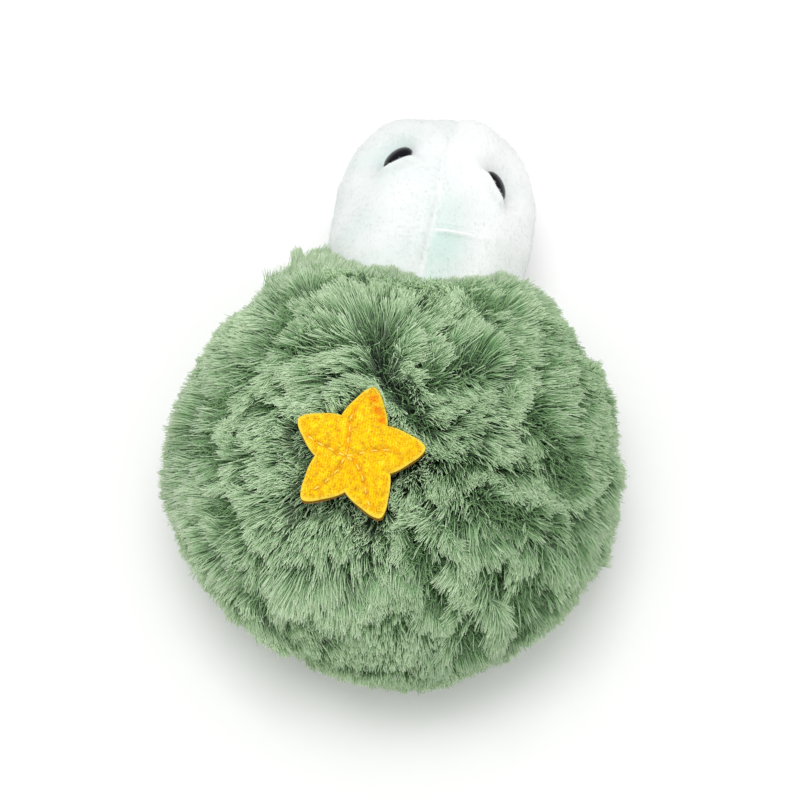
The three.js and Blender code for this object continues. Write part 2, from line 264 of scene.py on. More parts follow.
# shapes shared by the pieces
shell = {
    "radius": 38.0,     # to where the pile stands thick
    "top": 50.0,
    "equator": 24.0,
    "fullness": 2.1,
    "pile": 8.0,        # depth of the pile over its backing
    "backing": 1.6,
    "tuck": 4.0,
    "seam": 6.0,        # height of the seam round the belly
    "felted": 2.4,      # the roots of the pile stand too thick here to see through
}
coreRadius = shell["radius"] - shell["pile"]
coreTop = shell["top"] - shell["pile"]


def coreRing(angle, grow=0.0):
    # radius and height of the backing at an angle from -90 to 90 degrees, given in radians
    curve = 2 / shell["fullness"]
    high = coreTop - shell["equator"] + grow
    low = shell["equator"] + shell["tuck"] + grow
    radius = (coreRadius + grow) * np.maximum(np.cos(angle), 0) ** curve
    height = shell["equator"] + np.where(angle < 0, -low, high) * np.abs(np.sin(angle)) ** curve
    return radius, height


def corePoint(angle, turn, grow=0.0):
    radius, height = coreRing(angle, grow)
    return np.stack([radius * np.cos(turn), radius * np.sin(turn), height], -1)


def coreNormal(angle, turn):
    small = 1e-3
    r0, z0 = coreRing(angle - small)
    r1, z1 = coreRing(np.minimum(angle + small, np.pi / 2))
    out = np.stack([(z1 - z0) * np.cos(turn), (z1 - z0) * np.sin(turn), -(r1 - r0)], -1)
    return unit(out)


def angleAtHeight(height):
    low = shell["equator"] + shell["tuck"]
    high = coreTop - shell["equator"]
    rise = height - shell["equator"]
    share = abs(rise) / (high if rise > 0 else low)
    return math.copysign(math.asin(share ** (shell["fullness"] / 2)), rise)


# The camera as fitted to the photograph, in degrees and millimetres, and the photograph's width in pixels.
view = {"azimuth": 8.5, "elevation": 70.0, "distance": 324.0, "aim": (-0.68, 9.36, 27.41), "lens": 85.0,
        "sensor": 36.0, "pixels": 800}


def viewAxes():
    azimuth, elevation = math.radians(view["azimuth"]), math.radians(view["elevation"])
    level = math.cos(elevation)
    right = np.array([math.cos(azimuth), math.sin(azimuth), 0])
    back = np.array([math.sin(azimuth) * level, -math.cos(azimuth) * level, math.sin(elevation)])
    return right, np.cross(back, right), back


def onDome(marks, grow):
    # where the sight lines through places in the photograph meet the backing, grown by some millimetres:
    # turn round it and angle up it, in whole degrees
    right, up, back = viewAxes()
    marks = (np.array(marks, float) - view["pixels"] / 2) * view["sensor"] / view["lens"] / view["pixels"]
    sight = marks[:, :1] * right - marks[:, 1:] * up - back
    eyePlace = np.array(view["aim"]) + back * view["distance"]
    above, below = 80, -30     # the sight lines are followed between these heights
    start, stop = (eyePlace + sight * (height - eyePlace[2]) / sight[:, 2:] for height in (above, below))
    line = start[:, None] + (stop - start)[:, None] * np.linspace(0, 1, 4001)[:, None]
    rise = line[..., 2] - shell["equator"]
    high = np.where(rise > 0, coreTop - shell["equator"], shell["equator"] + shell["tuck"]) + grow
    share = np.abs(rise) / high
    wide = np.hypot(line[..., 0], line[..., 1]) / (coreRadius + grow)
    off = wide ** shell["fullness"] + share ** shell["fullness"] - 1
    met = np.where((off < 0).any(-1), (off < 0).argmax(-1), off.argmin(-1))
    each = np.arange(len(marks))
    spot, rise, share = line[each, met], rise[each, met], share[each, met]
    angle = np.copysign(np.arcsin(np.minimum(share, 1) ** (shell["fullness"] / 2)), rise)
    return np.round(np.degrees([np.arctan2(spot[:, 1], spot[:, 0]), angle])).T


def pileHeight(x, y):
    share = np.minimum(np.hypot(x, y) / shell["radius"], 1)
    rise = (1 - share ** shell["fullness"]) ** (1 / shell["fullness"])
    return shell["equator"] + (shell["top"] - shell["equator"]) * rise


head = {
    "width": 37.2,
    "height": 33.0,
    "front": 19.2,
    "neck": 17.0,
    "neckWidth": 35.6,
    "root": 10.0,       # the neck runs on this far into the pile
    "middle": 20.0,
    "turn": 4.0,        # degrees, nose to the right
    "roll": 5.0,        # degrees, crown to the right
    "fullness": 2.3,
    "seamDepth": 0.7,
    "seamReach": 1.6,
    "eyeTurn": 33.0,
    "eyeForward": 4.65,
    "eyeSkew": 0.45,
    "hollowDepth": 4.2,
    "hollowReach": 3.6,
    "hollowAhead": 3.0,
}
headPlace = np.array([0, coreRadius + head["neck"], head["middle"]])
turn, roll = math.radians(-head["turn"]), math.radians(head["roll"])
turnMatrix = np.array([[math.cos(turn), -math.sin(turn), 0], [math.sin(turn), math.cos(turn), 0], [0, 0, 1]])
rollMatrix = np.array([[math.cos(roll), 0, math.sin(roll)], [0, 1, 0], [-math.sin(roll), 0, math.cos(roll)]])
headMatrix = turnMatrix @ rollMatrix


def fromHead(points):
    return points @ headMatrix.T + headPlace


def toHead(points):
    return (points - headPlace) @ headMatrix


headFlat = head["height"] / head["width"]


def aroundHead(points):
    # distance from the head's axis, and angle round it from the crown, as if the head were round
    across, up = points[..., 0], points[..., 2] / headFlat
    return np.hypot(across, up), np.arctan2(across, up)


def headHalfWidth(y):
    half, neck = head["width"] / 2, head["neckWidth"] / 2
    back = np.clip(-y / head["neck"], 0, 1)
    taper = half + (neck - half) * back * back * (3 - 2 * back)
    share = np.clip(y / head["front"], 0, 1)
    return np.where(y < 0, taper, half * (1 - share ** head["fullness"]) ** (1 / head["fullness"]))


def headSkin(x, y):
    width = headHalfWidth(y)
    return np.stack([x, y, headFlat * np.sqrt(np.maximum(width ** 2 - x ** 2, 0))], -1)


def eyeSpots():
    spots = []
    for side in (-1, 1):
        y = head["eyeForward"] - side * head["eyeSkew"]
        x = side * headHalfWidth(np.array(y)) * math.sin(math.radians(head["eyeTurn"]))
        ahead = np.array([side, 1]) / math.sqrt(2) * head["hollowAhead"]
        spots.append((x, y, headSkin(np.array(x + ahead[0]), np.array(y + ahead[1]))))
    return spots


eyes = eyeSpots()


def drawIn(points, extra=0.0):
    # the cloth sinks at the hollows of the eyes and along the centre seam
    inward = unit(points * np.stack([-np.ones(points.shape[:-1]), np.where(points[..., 1] > 0, -1, 0),
                                     -np.ones(points.shape[:-1])], -1))
    depth = head["seamDepth"] * bell(points[..., 0], head["seamReach"]) + extra
    for _, _, hollow in eyes:
        away = ((points - hollow) ** 2).sum(-1)
        depth = depth + head["hollowDepth"] * np.exp(-away / (2 * head["hollowReach"] ** 2))
    return points + inward * depth[..., None]


def eyeFrame(spot):
    x, y, _ = spot
    step = 0.5
    at = lambda dx, dy: drawIn(headSkin(np.array(x + dx), np.array(y + dy)))
    out = unit(np.cross(at(step, 0) - at(-step, 0), at(0, step) - at(0, -step)))
    return at(0, 0), out


star = {
    "radius": 11.0,
    "notch": 6.45,
    "shoulder": 8.6,
    "shoulderTurn": 0.46,
    "tipTurn": 0.14,
    "tipShare": 0.955,
    "x": -5.1,
    "y": -8.2,
    "turn": -6.7,       # degrees
    "sink": 1.2,
    "arms": 5,
    "felt": 0.6,
    "gap": 0.3,
    "crown": 1.5,
    "crownReach": 2.4,
    "crownEdge": 0.7,
}


def starRadiusAt(angle):
    # radius of the outline at an angle from the axis of the nearest arm, as a share of half an arm
    half = math.pi / star["arms"]
    off = np.abs((angle - math.pi / 2 + half) % (2 * half) - half) / half
    places = [0, star["tipTurn"], star["shoulderTurn"], 1]
    radii = [star["radius"], star["radius"] * star["tipShare"], star["shoulder"], star["notch"]]
    fine = np.linspace(0, 1, 201)
    return np.interp(off, fine, roundedCurve(fine, places, radii))


def roundedCurve(at, places, radii):
    # a cubic through the points that is level at the tip of the arm
    slopes = [0]
    for before, after in ((0, 2), (1, 3), (2, 3)):
        slopes.append((radii[after] - radii[before]) / (places[after] - places[before]))
    out = np.zeros_like(at)
    for i in range(3):
        width = places[i + 1] - places[i]
        t = np.clip((at - places[i]) / width, 0, 1)
        inside = (at >= places[i]) & (at <= places[i + 1])
        cubic = ((2 * t ** 3 - 3 * t ** 2 + 1) * radii[i] + (t ** 3 - 2 * t ** 2 + t) * width * slopes[i]
                 + (3 * t ** 2 - 2 * t ** 3) * radii[i + 1] + (t ** 3 - t ** 2) * width * slopes[i + 1])
        out = np.where(inside, cubic, out)
    return out


starTurn = math.radians(star["turn"])


def starLocal(x, y):
    dx, dy = x - star["x"], y - star["y"]
    cosine, sine = math.cos(starTurn), math.sin(starTurn)
    return dx * cosine + dy * sine, -dx * sine + dy * cosine


def starWorld(x, y):
    cosine, sine = math.cos(starTurn), math.sin(starTurn)
    return star["x"] + x * cosine - y * sine, star["y"] + x * sine + y * cosine


# finishes
def addRamp(tree, socket, stops):
    ramp = addNode(tree, "ShaderNodeValToRGB", {}, {0: socket})
    band = ramp.color_ramp
    while len(band.elements) < len(stops):
        band.elements.new(0.5)
    for element, (place, colour) in zip(band.elements, stops):
        element.position = place
        element.color = linear(colour)
    return ramp.outputs[0]


def addPattern(tree, kind, size, settings={}, output="Fac"):
    # a pattern in the piece's own space, with a grain of that many millimetres; the ribs of a Wave lie
    # 0.314 of its grain apart
    place = addNode(tree, "ShaderNodeTexCoord")
    settings = {"Scale": 1 / (size * mm), **settings}
    return addNode(tree, "ShaderNodeTex" + kind, settings, {0: place.outputs["Object"]}).outputs[output]


def addBump(tree, shader, strength, height):
    bump = addNode(tree, "ShaderNodeBump", {"Strength": strength, "Distance": 0.2 * mm}, {"Height": height})
    tree.links.new(bump.outputs[0], shader.inputs["Normal"])


def threadAxes(tree):
    # place across the tones and place along the fibre
    uv = addNode(tree, "ShaderNodeUVMap", {"uv_map": "OFBake"})
    return addNode(tree, "ShaderNodeSeparateXYZ", {}, {0: uv.outputs[0]}).outputs


# Faux fur, a knitted acrylic pile: matt, the fibres darker toward the root, which is painted shade deep in
# the pile, and paler toward the trimmed tip, which is partly painted highlight.
def pileMaterial(name, colours):
    material, tree, shader = newMaterial(name, {"Roughness": 0.62, "Specular IOR Level": 0.25, "IOR": 1.5,
                                                "Sheen Weight": 0.15, "Sheen Roughness": 0.5})
    across, along, _ = threadAxes(tree)
    length = addRamp(tree, along, [(0.0, colours["root"]), (0.38, colours["low"]), (0.72, colours["middle"]),
                                   (1.0, colours["tip"])])
    steps = addNode(tree, "ShaderNodeMath", {"operation": "SNAP", 1: 1 / toneColumns}, {0: across})
    tone = addRamp(tree, steps.outputs[0], [(0.0, colours["dark"]), (0.95, colours["light"])])
    mix = addNode(tree, "ShaderNodeMix", {"data_type": "RGBA", 0: 0.42}, {6: length, 7: tone})
    tree.links.new(mix.outputs[2], shader.inputs["Base Color"])
    return material


greenPile = pileMaterial("acrylicPile", {
    "root": "1a2a20", "low": "4e784a", "middle": "a0d091", "tip": "e6ffd4",
    "dark": "4c7f46", "light": "f1ffe3"})
# the short fibres' copy of the pile, darker all over as painted shade, since they stand deep among the long
# ones
shadedUnderPile = pileMaterial("acrylicUnderpileShaded", {
    "root": "18241d", "low": "3a5a34", "middle": "729f66", "tip": "94c083",
    "dark": "3f6338", "light": "a3ce92"})
mintPile = pileMaterial("velboaPile", {
    "root": "e4edeb", "low": "e8f0ee", "middle": "ecf3f1", "tip": "f2f6f5",
    "dark": "d6e8e2", "light": "fafcfc"})
yellowPile = pileMaterial("feltFuzz", {
    "root": "e09a04", "low": "f2b004", "middle": "fcc508", "tip": "ffd420",
    "dark": "f0ac04", "light": "ffdc30"})


# Spun polyester sewing thread: a soft shine along it, and darker toward each end of a stitch, painted shade
# where it sinks into the cloth.
def threadMaterial(name, dark, light):
    settings = {"Roughness": 0.5, "Sheen Weight": 0.2, "Specular IOR Level": 0.4}
    material, tree, shader = newMaterial(name, settings)
    colour = addRamp(tree, threadAxes(tree)[1], [(0.0, dark), (0.25, light), (0.75, light), (1.0, dark)])
    tree.links.new(colour, shader.inputs["Base Color"])
    return material


mintThread = threadMaterial("mintThread", "cfe0d8", "eef6f2")
yellowThread = threadMaterial("yellowThread", "e89a08", "ffe45c")


# Knitted polyester backing: dull dark green, darkened to near black as painted shade, since it is only seen
# deep between the tufts. Its ribs stand 2.4 mm apart, coarser than real.
def backingMaterial():
    material, tree, shader = newMaterial("knittedBacking", {"Roughness": 0.9})
    ribs = addPattern(tree, "Wave", 7.536, {"Distortion": 2.0})
    colour = addRamp(tree, ribs, [(0.0, "1b2a1d"), (1.0, "263828")])
    tree.links.new(colour, shader.inputs["Base Color"])
    return material


# Velboa, a short sheared polyester plush: soft sheen, greener where painted shade lies in its hollows, on its
# left half and right of the seam, and a faint cloudiness where the nap turns.
def plushMaterial():
    settings = {"Roughness": 0.85, "Sheen Weight": 0.6, "Sheen Roughness": 0.45, "Specular IOR Level": 0.2}
    material, tree, shader = newMaterial("velboaPlush", settings)
    paintedShadeAndCloud = addNode(tree, "ShaderNodeAttribute", {"attribute_name": "paintedShadeAndCloud"}).outputs["Fac"]
    colour = addRamp(tree, paintedShadeAndCloud, [(0.0, "fafbfb"), (0.4, "ebf0ef"), (1.0, "d4e9e3")])
    tree.links.new(colour, shader.inputs["Base Color"])
    addBump(tree, shader, 0.4, addPattern(tree, "Noise", 0.5, {"Detail": 4.0}))
    return material


# Brushed polyester felt: matted fibres in ribs 0.42 mm apart, mottled yellow and amber, pricked, no shine.
def feltMaterial():
    settings = {"Roughness": 0.95, "Sheen Weight": 0.05, "Specular IOR Level": 0.1}
    material, tree, shader = newMaterial("brushedFelt", settings)
    patch = addPattern(tree, "Noise", 1.5, {"Detail": 6.0, "Roughness": 0.75})
    rib = addPattern(tree, "Wave", 1.3356, {"Distortion": 1.5, "Detail": 1.0})
    ribbed = addNode(tree, "ShaderNodeMix", {0: 0.16}, {2: patch, 3: rib}).outputs[0]
    colour = addRamp(tree, ribbed, [(0.32, "f8b808"), (0.45, "ffce0a"), (0.58, "ffde10"), (0.72, "fff048")])
    pricks = addPattern(tree, "Voronoi", 1.7, output="Distance")
    sewn, amberPatches, edge = (addNode(tree, "ShaderNodeAttribute", {"attribute_name": name}).outputs["Fac"]
                        for name in ("sewn", "amberPatches", "edge"))
    # laid over it: the pricks, painted shade in the drawn-in lines, the darker amber patches, the pale rim
    # and the brown of painted shade on the side below it
    layers = [
        ("MapRange", {1: 0.1, 2: 0.18, 3: 0.6, 4: 0.0}, pricks, "dd8600"),
        # painted shade: the grooves of the stitch lines are coloured darker amber
        ("Math", {"operation": "MULTIPLY", 1: 0.22}, sewn, "f09a04"),
        ("Math", {"operation": "MULTIPLY", 1: 1.0}, amberPatches, "f07a08"),
        ("MapRange", {1: 0.92, 2: 0.975}, edge, "ffde4a"),
        # painted shade: the side below the rim is coloured brown, for the dark line under the star's edge
        ("MapRange", {1: 1.2, 2: 1.8}, edge, "b87814"),
    ]
    for kind, limits, source, over in layers:
        share = addNode(tree, "ShaderNode" + kind, limits, {0: source})
        links = {0: share.outputs[0], 6: colour}
        colour = addNode(tree, "ShaderNodeMix", {"data_type": "RGBA", 7: linear(over)}, links).outputs[2]
    tree.links.new(colour, shader.inputs["Base Color"])
    addBump(tree, shader, 0.5, ribbed)
    return material


# Polished moulded ABS: a deep black with a sharp highlight. Hidden inside and finished plainly by the same
# function: loose fibre fill, pouch cloth, the sintered magnet and the moulded washers.
def mottledMaterial(name, dark, light, size, settings, detail=4.0):
    material, tree, shader = newMaterial(name, settings)
    mottle = addPattern(tree, "Noise", size, {"Detail": detail})
    colour = addRamp(tree, mottle, [(0.3, dark), (0.7, light)])
    tree.links.new(colour, shader.inputs["Base Color"])
    return material


backingCloth = backingMaterial()
mintPlush = plushMaterial()
yellowFelt = feltMaterial()
blackAbs = mottledMaterial("polishedAbs", "07060f", "0c0a17", 2,
                           {"Roughness": 0.12, "IOR": 1.5, "Specular IOR Level": 0.14}, 2.0)
fibreFill = mottledMaterial("polyesterFibre", "eeeeea", "fbfbf8", 2, {"Roughness": 1.0})
washerPlastic = mottledMaterial("naturalPolyethylene", "e2e4e0", "eef0ec", 3, {"Roughness": 0.4})
innerFinish = {
    "body_stuffing": fibreFill,
    "head_stuffing": fibreFill,
    "star_wadding": fibreFill,
    "magnet_disc": mottledMaterial("sinteredFerrite", "2a2b2e", "38393d", 0.6,
                                   {"Roughness": 0.55, "Metallic": 0.3}),
    "magnet_pouch": mottledMaterial("nonWovenCloth", "cfd0ca", "e2e3de", 1, {"Roughness": 0.95}),
    "eye_washer_left": washerPlastic,
    "eye_washer_right": washerPlastic,
    # painted shade: the backing felt is coloured darker amber than the yellow front, for the dark line under
    # the star's edge
    "star_backing": mottledMaterial("feltBackingShaded", "a86a10", "bd7f18", 1, {"Roughness": 0.95}),
}
for name, material in innerFinish.items():
    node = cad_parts[name]
    node.data.materials.clear()
    node.data.materials.append(material)
print("finishes made")


# Short fibres over a modelled surface: they start on its triangles and lie along the nap.
fuzzSwirl = {
    "turn": 30,              # degrees that the nap wanders
    "size": 5.0,             # over this many millimetres
    "leanSpread": 11,        # degrees
    "piece": 13500,          # fibres in one mesh
    "floor": 0.05,           # pressed flat where the toy lies on the steel
}


def growFuzz(name, points, faces, settings, material, nap, tone=None, keep=None):
    rng = np.random.default_rng(settings["seed"])
    a, b, c = points[faces[:, 0]], points[faces[:, 1]], points[faces[:, 2]]
    normal = np.cross(b - a, c - a)
    area = np.linalg.norm(normal, axis=-1)
    if keep is not None:
        area = area * keep((a + b + c) / 3)
    chosen = rng.choice(len(faces), settings["fibres"], p=area / area.sum())
    u, v = rng.random((2, settings["fibres"]))
    u, v = np.where(u + v > 1, 1 - u, u), np.where(u + v > 1, 1 - v, v)
    roots = a[chosen] + (b[chosen] - a[chosen]) * u[:, None] + (c[chosen] - a[chosen]) * v[:, None]
    normals = unit(normal[chosen])
    heading = unit(tangent(nap(roots), normals))
    side = np.cross(normals, heading)
    swirl = fuzzSwirl["turn"] * smoothNoise(roots, settings["seed"], fuzzSwirl["size"])
    swing = np.radians(rng.normal(scale=settings["swing"], size=len(roots)) + swirl)
    heading = heading * np.cos(swing)[:, None] + side * np.sin(swing)[:, None]
    lean = np.radians(np.clip(rng.normal(settings["lean"], fuzzSwirl["leanSpread"], len(roots)), 10, 84))
    length = settings["length"] * rng.uniform(0.7, 1.15, len(roots))
    t = np.linspace(0, 1, 3)
    rise = (length * np.cos(lean))[:, None] * (1 - (1 - t) ** 1.5)
    reach = (length * np.sin(lean))[:, None] * t ** 1.3
    paths = (roots - normals * 0.1)[:, None] + normals[:, None] * rise[..., None]
    paths = paths + heading[:, None] * reach[..., None]
    paths[..., 2] = np.maximum(paths[..., 2], fuzzSwirl["floor"])
    widths = settings["width"] * np.array([1.0, 0.9, 0.45])[None] * rng.uniform(0.8, 1.2, (len(roots), 1))
    tones = 0.5 if tone is None else tone(roots)
    tones = np.clip(tones + rng.normal(scale=settings["toneSpread"], size=len(roots)), 0, 1)
    order = np.argsort(np.arctan2(*(roots - roots.mean(0))[:, :2].T))
    pilePieces(name, order, fuzzSwirl["piece"], paths, widths, tones, material)


def halves(quads):
    return np.concatenate([quads[:, [0, 1, 2]], quads[:, [0, 2, 3]]])


# shell backing and belly
# the backing is thin under the neck, so that it stays inside the plush: how near the head, and below and
# ahead of which places along the head's axes
backingThin = {"reach": 3.0, "below": -4.0, "ahead": -35.0}


def bowl(name, angles, turnCount, over, inset, material):
    # a sewn cloth bowl: outside, inside and a rim at each open end
    turns = np.arange(turnCount) * 2 * np.pi / turnCount
    grid = lambda grow: corePoint(*np.meshgrid(angles, turns, indexing="ij"), grow)
    local = toHead(grid(0.0))
    off = np.maximum(aroundHead(local)[0] - headHalfWidth(local[..., 1]), 0)
    underNeck = (local[..., 2] < backingThin["below"]) * (local[..., 1] > backingThin["ahead"])
    thin = bell(off, backingThin["reach"]) * underNeck
    points = np.concatenate([grid(over * (1 - thin)), grid(-inset)[::-1]])
    rows = len(points)
    faces = gridFaces(rows, turnCount)
    last = (rows - 1) * turnCount
    c = np.arange(turnCount)
    n = (c + 1) % turnCount
    rim = np.stack([last + c, last + n, n, c], -1)
    return makeMesh(name, points.reshape(-1, 3), np.concatenate([faces, rim]), material)


seamAngle = angleAtHeight(shell["seam"])
bowlRings, bowlSides = 60, 120
bowlAngles = np.linspace(seamAngle + 0.01, np.pi / 2 - 0.004, bowlRings)
backing = bowl("shell_backing", bowlAngles, bowlSides, shell["felted"], shell["backing"], backingCloth)
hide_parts("shell_cover_left", "shell_cover_right")

belly = {
    "flatRings": 61,
    "sideRings": 28,
    "sides": 240,
    "stitchRing": 11.8,       # thread that holds the pouch of the magnet
    "sewnReach": 0.6,         # the cloth is held this near the thread
    "magnet": 10,             # and over the magnet
    "tuck": 0.55,             # how far the thread draws it in
    "tuckReach": 0.8,
    "uneven": 0.06,
    "floor": 0.02,            # lowest that the cloth lies over the steel
    "thread": 0.35,
    "stitch": 2.1,
    "stitchGap": 0.9,
    "pressure": 4.0,
    "cap": 1.0,
}
bellyAngle = -math.asin((shell["equator"] / (shell["equator"] + shell["tuck"])) ** (shell["fullness"] / 2))


def makeBelly():
    # flat where it lies on the steel, drawn up by the stitches round the magnet, then curving up to the seam
    flatRadius = float(coreRing(np.array(bellyAngle))[0])
    share = np.linspace(0.004, 0.97, belly["flatRings"])
    side = np.linspace(bellyAngle, seamAngle - 0.01, belly["sideRings"])
    sideRadius, sideHeight = coreRing(side)
    radius = np.concatenate([share * flatRadius, sideRadius])
    height = np.concatenate([0 * share + belly["floor"], np.maximum(sideHeight, belly["floor"])])
    turns = np.arange(belly["sides"]) * 2 * np.pi / belly["sides"]
    around = lambda r, z: np.stack([r[:, None] * np.cos(turns), r[:, None] * np.sin(turns),
                                    np.broadcast_to(z[:, None], (len(r), len(turns)))], -1)
    grid = around(radius, height)
    rows = np.arange(len(radius))
    onRing = np.abs(radius - belly["stitchRing"]) < belly["sewnReach"]
    sewn = onRing | (radius < belly["magnet"]) | (rows > len(radius) - 3)
    hold = np.broadcast_to(sewn[:, None] * 1.0, grid.shape[:2])
    outer = grid + inflate(grid, hold, 2, belly["pressure"], belly["cap"], flip=True)
    tuck = belly["tuck"] * bell(radius - belly["stitchRing"], belly["tuckReach"])
    uneven = belly["uneven"] * (1 + smoothNoise(outer, 61, 4.0))
    outer[..., 2] = np.maximum(outer[..., 2] + tuck[:, None] + uneven, belly["floor"])
    inner = around(radius - 1.0 * (height > 0.1) * radius / coreRadius, height + shell["backing"])
    points = np.concatenate([outer, inner[::-1]])
    faces = closedStrip(points)
    piece = makeMesh("belly_cloth", points.reshape(-1, 3), faces, mintPlush)
    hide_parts("belly_panel")

    stitches = int(2 * np.pi * belly["stitchRing"] / (belly["stitch"] + belly["stitchGap"]))
    arc = np.linspace(-0.5, 0.5, 7) * belly["stitch"] / belly["stitchRing"]
    turn = (np.arange(stitches) * 2 * np.pi / stitches)[:, None] + arc
    rise = belly["tuck"] + 0.25 - 0.3 * np.cos(np.linspace(-np.pi / 2, np.pi / 2, 7))
    paths = np.stack([belly["stitchRing"] * np.cos(turn), belly["stitchRing"] * np.sin(turn),
                      np.broadcast_to(rise, turn.shape)], -1)
    thread = fibreMesh("belly_stitches", paths, np.full(paths.shape[:2], belly["thread"]),
                       np.full(stitches, 0.5), mintThread, sides=6)
    flow = lambda roots: np.stack([0 * roots[:, 0], -1 + 0 * roots[:, 0], 0 * roots[:, 0]], -1)
    outside = halves(gridFaces(*outer.shape[:2], flip=True))
    fuzz = {"fibres": 20000, "length": 1.0, "width": 0.07, "lean": 68.0, "swing": 22.0, "toneSpread": 0.1,
            "seed": 43}
    growFuzz("belly_fuzz", outer.reshape(-1, 3), outside, fuzz, mintPile, flow)


makeBelly()
print("backing and belly made")


# head
headDetail = {
    "rings": 171,
    "neckRings": 110,
    "sides": 320,
    "step": 4,                # every fourth ring and column is simulated
    "slack": 0.4,             # the cloth starts this much smaller before it is blown up
    "pressure": 4.0,
    "cap": 1.5,
    "creaseDepth": 0.3,       # the sewn line at the bottom of the seam's groove
    "creaseReach": 0.32,
    "lipReach": 1.15,         # plush that stands over the inner side of each eye
    "lipLength": 3.8,
    "seamFill": 0.4,          # how much of the seam's groove the pile closes
    "dart": 0.55,             # tuck across the nape
    "lump": 0.18,             # unevenness of the stuffing
    "lumpSize": 13.0,
    "ruffle": 0.13,           # how deep the nap is ruffled beside the seam
    "ruffled": (-4.5, -5.0, 4, 6.5),      # where: place, half width and half length
    "bulge": 0.7,             # how far the cloth swells along the nape, left of the seam
    "bulged": (-2.4, -10, 1.9, 7),
    "dartReach": 0.3,         # half width of the tuck's groove
    "dartLip": (0.8, 0.85, 0.7),      # swell beside it: share of its depth, place and reach
}
seamPath = [(-27, -0.6), (-17, -0.6), (-9, -0.4), (-3, -0.5), (3, -1.2), (8, -0.8), (14, -0.4), (20, 0)]
dartEnds = ((-0.2, -8.1), (8.6, -6.4))
# from each eye toward its lip, how far off, how high
lips = ((0.44, -0.9, 2.75, 1.85), (-0.62, -0.78, 2.25, 2.3))
# where the stuffing is packed tight or loose: place, size, reach
fullCorners = (
    (-12.0, 14.0, 0.9, 5.5), (8.0, 18.0, 0.6, 6.0), (-5.5, 19.0, -0.75, 5.0), (3.5, 19.0, 0.5, 4.0))


def seamAt(y):
    path = np.array(seamPath, float)
    return np.interp(y, path[:, 0], path[:, 1])


def dartField(points):
    # place along the dart from 0 to 1, and distance toward the nose
    (x0, y0), (x1, y1) = dartEnds
    run = math.hypot(x1 - x0, y1 - y0)
    along = ((points[..., 0] - x0) * (x1 - x0) + (points[..., 1] - y0) * (y1 - y0)) / run ** 2
    off = ((points[..., 1] - y0) * (x1 - x0) - (points[..., 0] - x0) * (y1 - y0)) / run
    return along, off


def oval(points, spot):
    x, y, wide, long = spot
    return np.exp(-((points[..., 0] - x) / wide) ** 2 - ((points[..., 1] - y) / long) ** 2)


def lipField(points):
    total = 0
    for (x, y, _), (dx, dy, away, height) in zip(eyes, lips):
        size = math.hypot(dx, dy)
        u = ((points[..., 0] - x) * dx + (points[..., 1] - y) * dy) / size - away
        v = ((points[..., 0] - x) * dy - (points[..., 1] - y) * dx) / size
        fade = -(u / headDetail["lipReach"]) ** 2 - (v / headDetail["lipLength"]) ** 4
        total = total + height * np.exp(fade)
    return total * (points[..., 2] > 0)


def shapeHead(points):
    # the cloth sinks along its seam, its dart and round the eyes, and swells between them
    off = points[..., 0] - seamAt(points[..., 1])
    upper = 1 / (1 + np.exp(-points[..., 2]))
    crease = headDetail["creaseDepth"] * bell(off, headDetail["creaseReach"])
    lump = headDetail["lump"] * smoothNoise(points, 31, headDetail["lumpSize"])
    ruffled = oval(points, headDetail["ruffled"]) * upper
    lump = lump + headDetail["ruffle"] * ruffled * smoothNoise(points * (1, 2.0, 1), 35, 2.6)
    along, nearDart = dartField(points)
    taper = np.clip((along - 0.04) / 0.14, 0, 1) * np.clip((1.05 - along) / 0.5, 0, 1) * upper
    lipShare, lipPlace, lipReach = headDetail["dartLip"]
    dart = bell(nearDart, headDetail["dartReach"]) - lipShare * bell(nearDart + lipPlace, lipReach)
    dart = headDetail["dart"] * dart * taper
    bulge = -headDetail["bulge"] * oval(points, headDetail["bulged"]) * upper
    corners = 0
    for x, y, size, reach in fullCorners:
        away = (points[..., 0] - x) ** 2 + (points[..., 1] - y) ** 2
        corners = corners + size * np.exp(-away / reach ** 2)
    closed = headDetail["seamFill"] * bell(points[..., 0], head["seamReach"])
    extra = headDetail["slack"] + crease + dart + bulge + lump - corners - closed - lipField(points)
    return drawIn(points, extra)


headSewn = {
    "seam": 0.7,          # the cloth is held this near the seam
    "seamHold": 0.3,      # and this firmly
    "neck": 3,            # length of neck that is held
    "stem": 1.8,          # the cloth is pinned this near an eye's stem
    "outer": 4.2,         # and this near it on its outer side
    "inner": 0.8,         # where the inner side begins
}


def sewnDown(points):
    # the neck, the seam and the cloth that each eye pins and draws in
    off = np.abs(points[..., 0] - seamAt(points[..., 1]))
    hold = np.where((off < headSewn["seam"]) & (points[..., 2] > 0), headSewn["seamHold"], 0.0)
    hold = np.where(points[..., 1] < -head["neck"] + headSewn["neck"], 1.0, hold)
    for (x, y, _), (dx, dy, _, _) in zip(eyes, lips):
        far = np.linalg.norm(points - headSkin(np.array(x), np.array(y)), axis=-1)
        inner = (points[..., 0] - x) * dx + (points[..., 1] - y) * dy > headSewn["inner"]
        hold = np.where((far < headSewn["stem"]) | ((far < headSewn["outer"]) & ~inner), 1.0, hold)
    return hold


# painted shade, with a faint random cloudiness: how much greener the white plush is coloured, place by place
paintedShadeAndCloud = {
    "hollow": 0.55,       # painted shade in the hollows of the eyes
    "hollowReach": 3.2,
    "panel": 0.9,         # painted shade right of the seam, behind the dart
    "ahead": 0.6,         # and ahead of it
    "aheadReach": 12,
    "panelEdge": 1.2,
    "panelWidth": 3,
    "panelReach": 5,
    "left": 0.36,         # painted shade, darker and greener, over the left half
    "ridge": 0.7,         # painted highlight: the white ridge behind the dart, left free of the shade, stands this far off it
    "ridgeReach": 0.35,
    "cloud": 0.12,
    "cloudSize": 9.0,
}


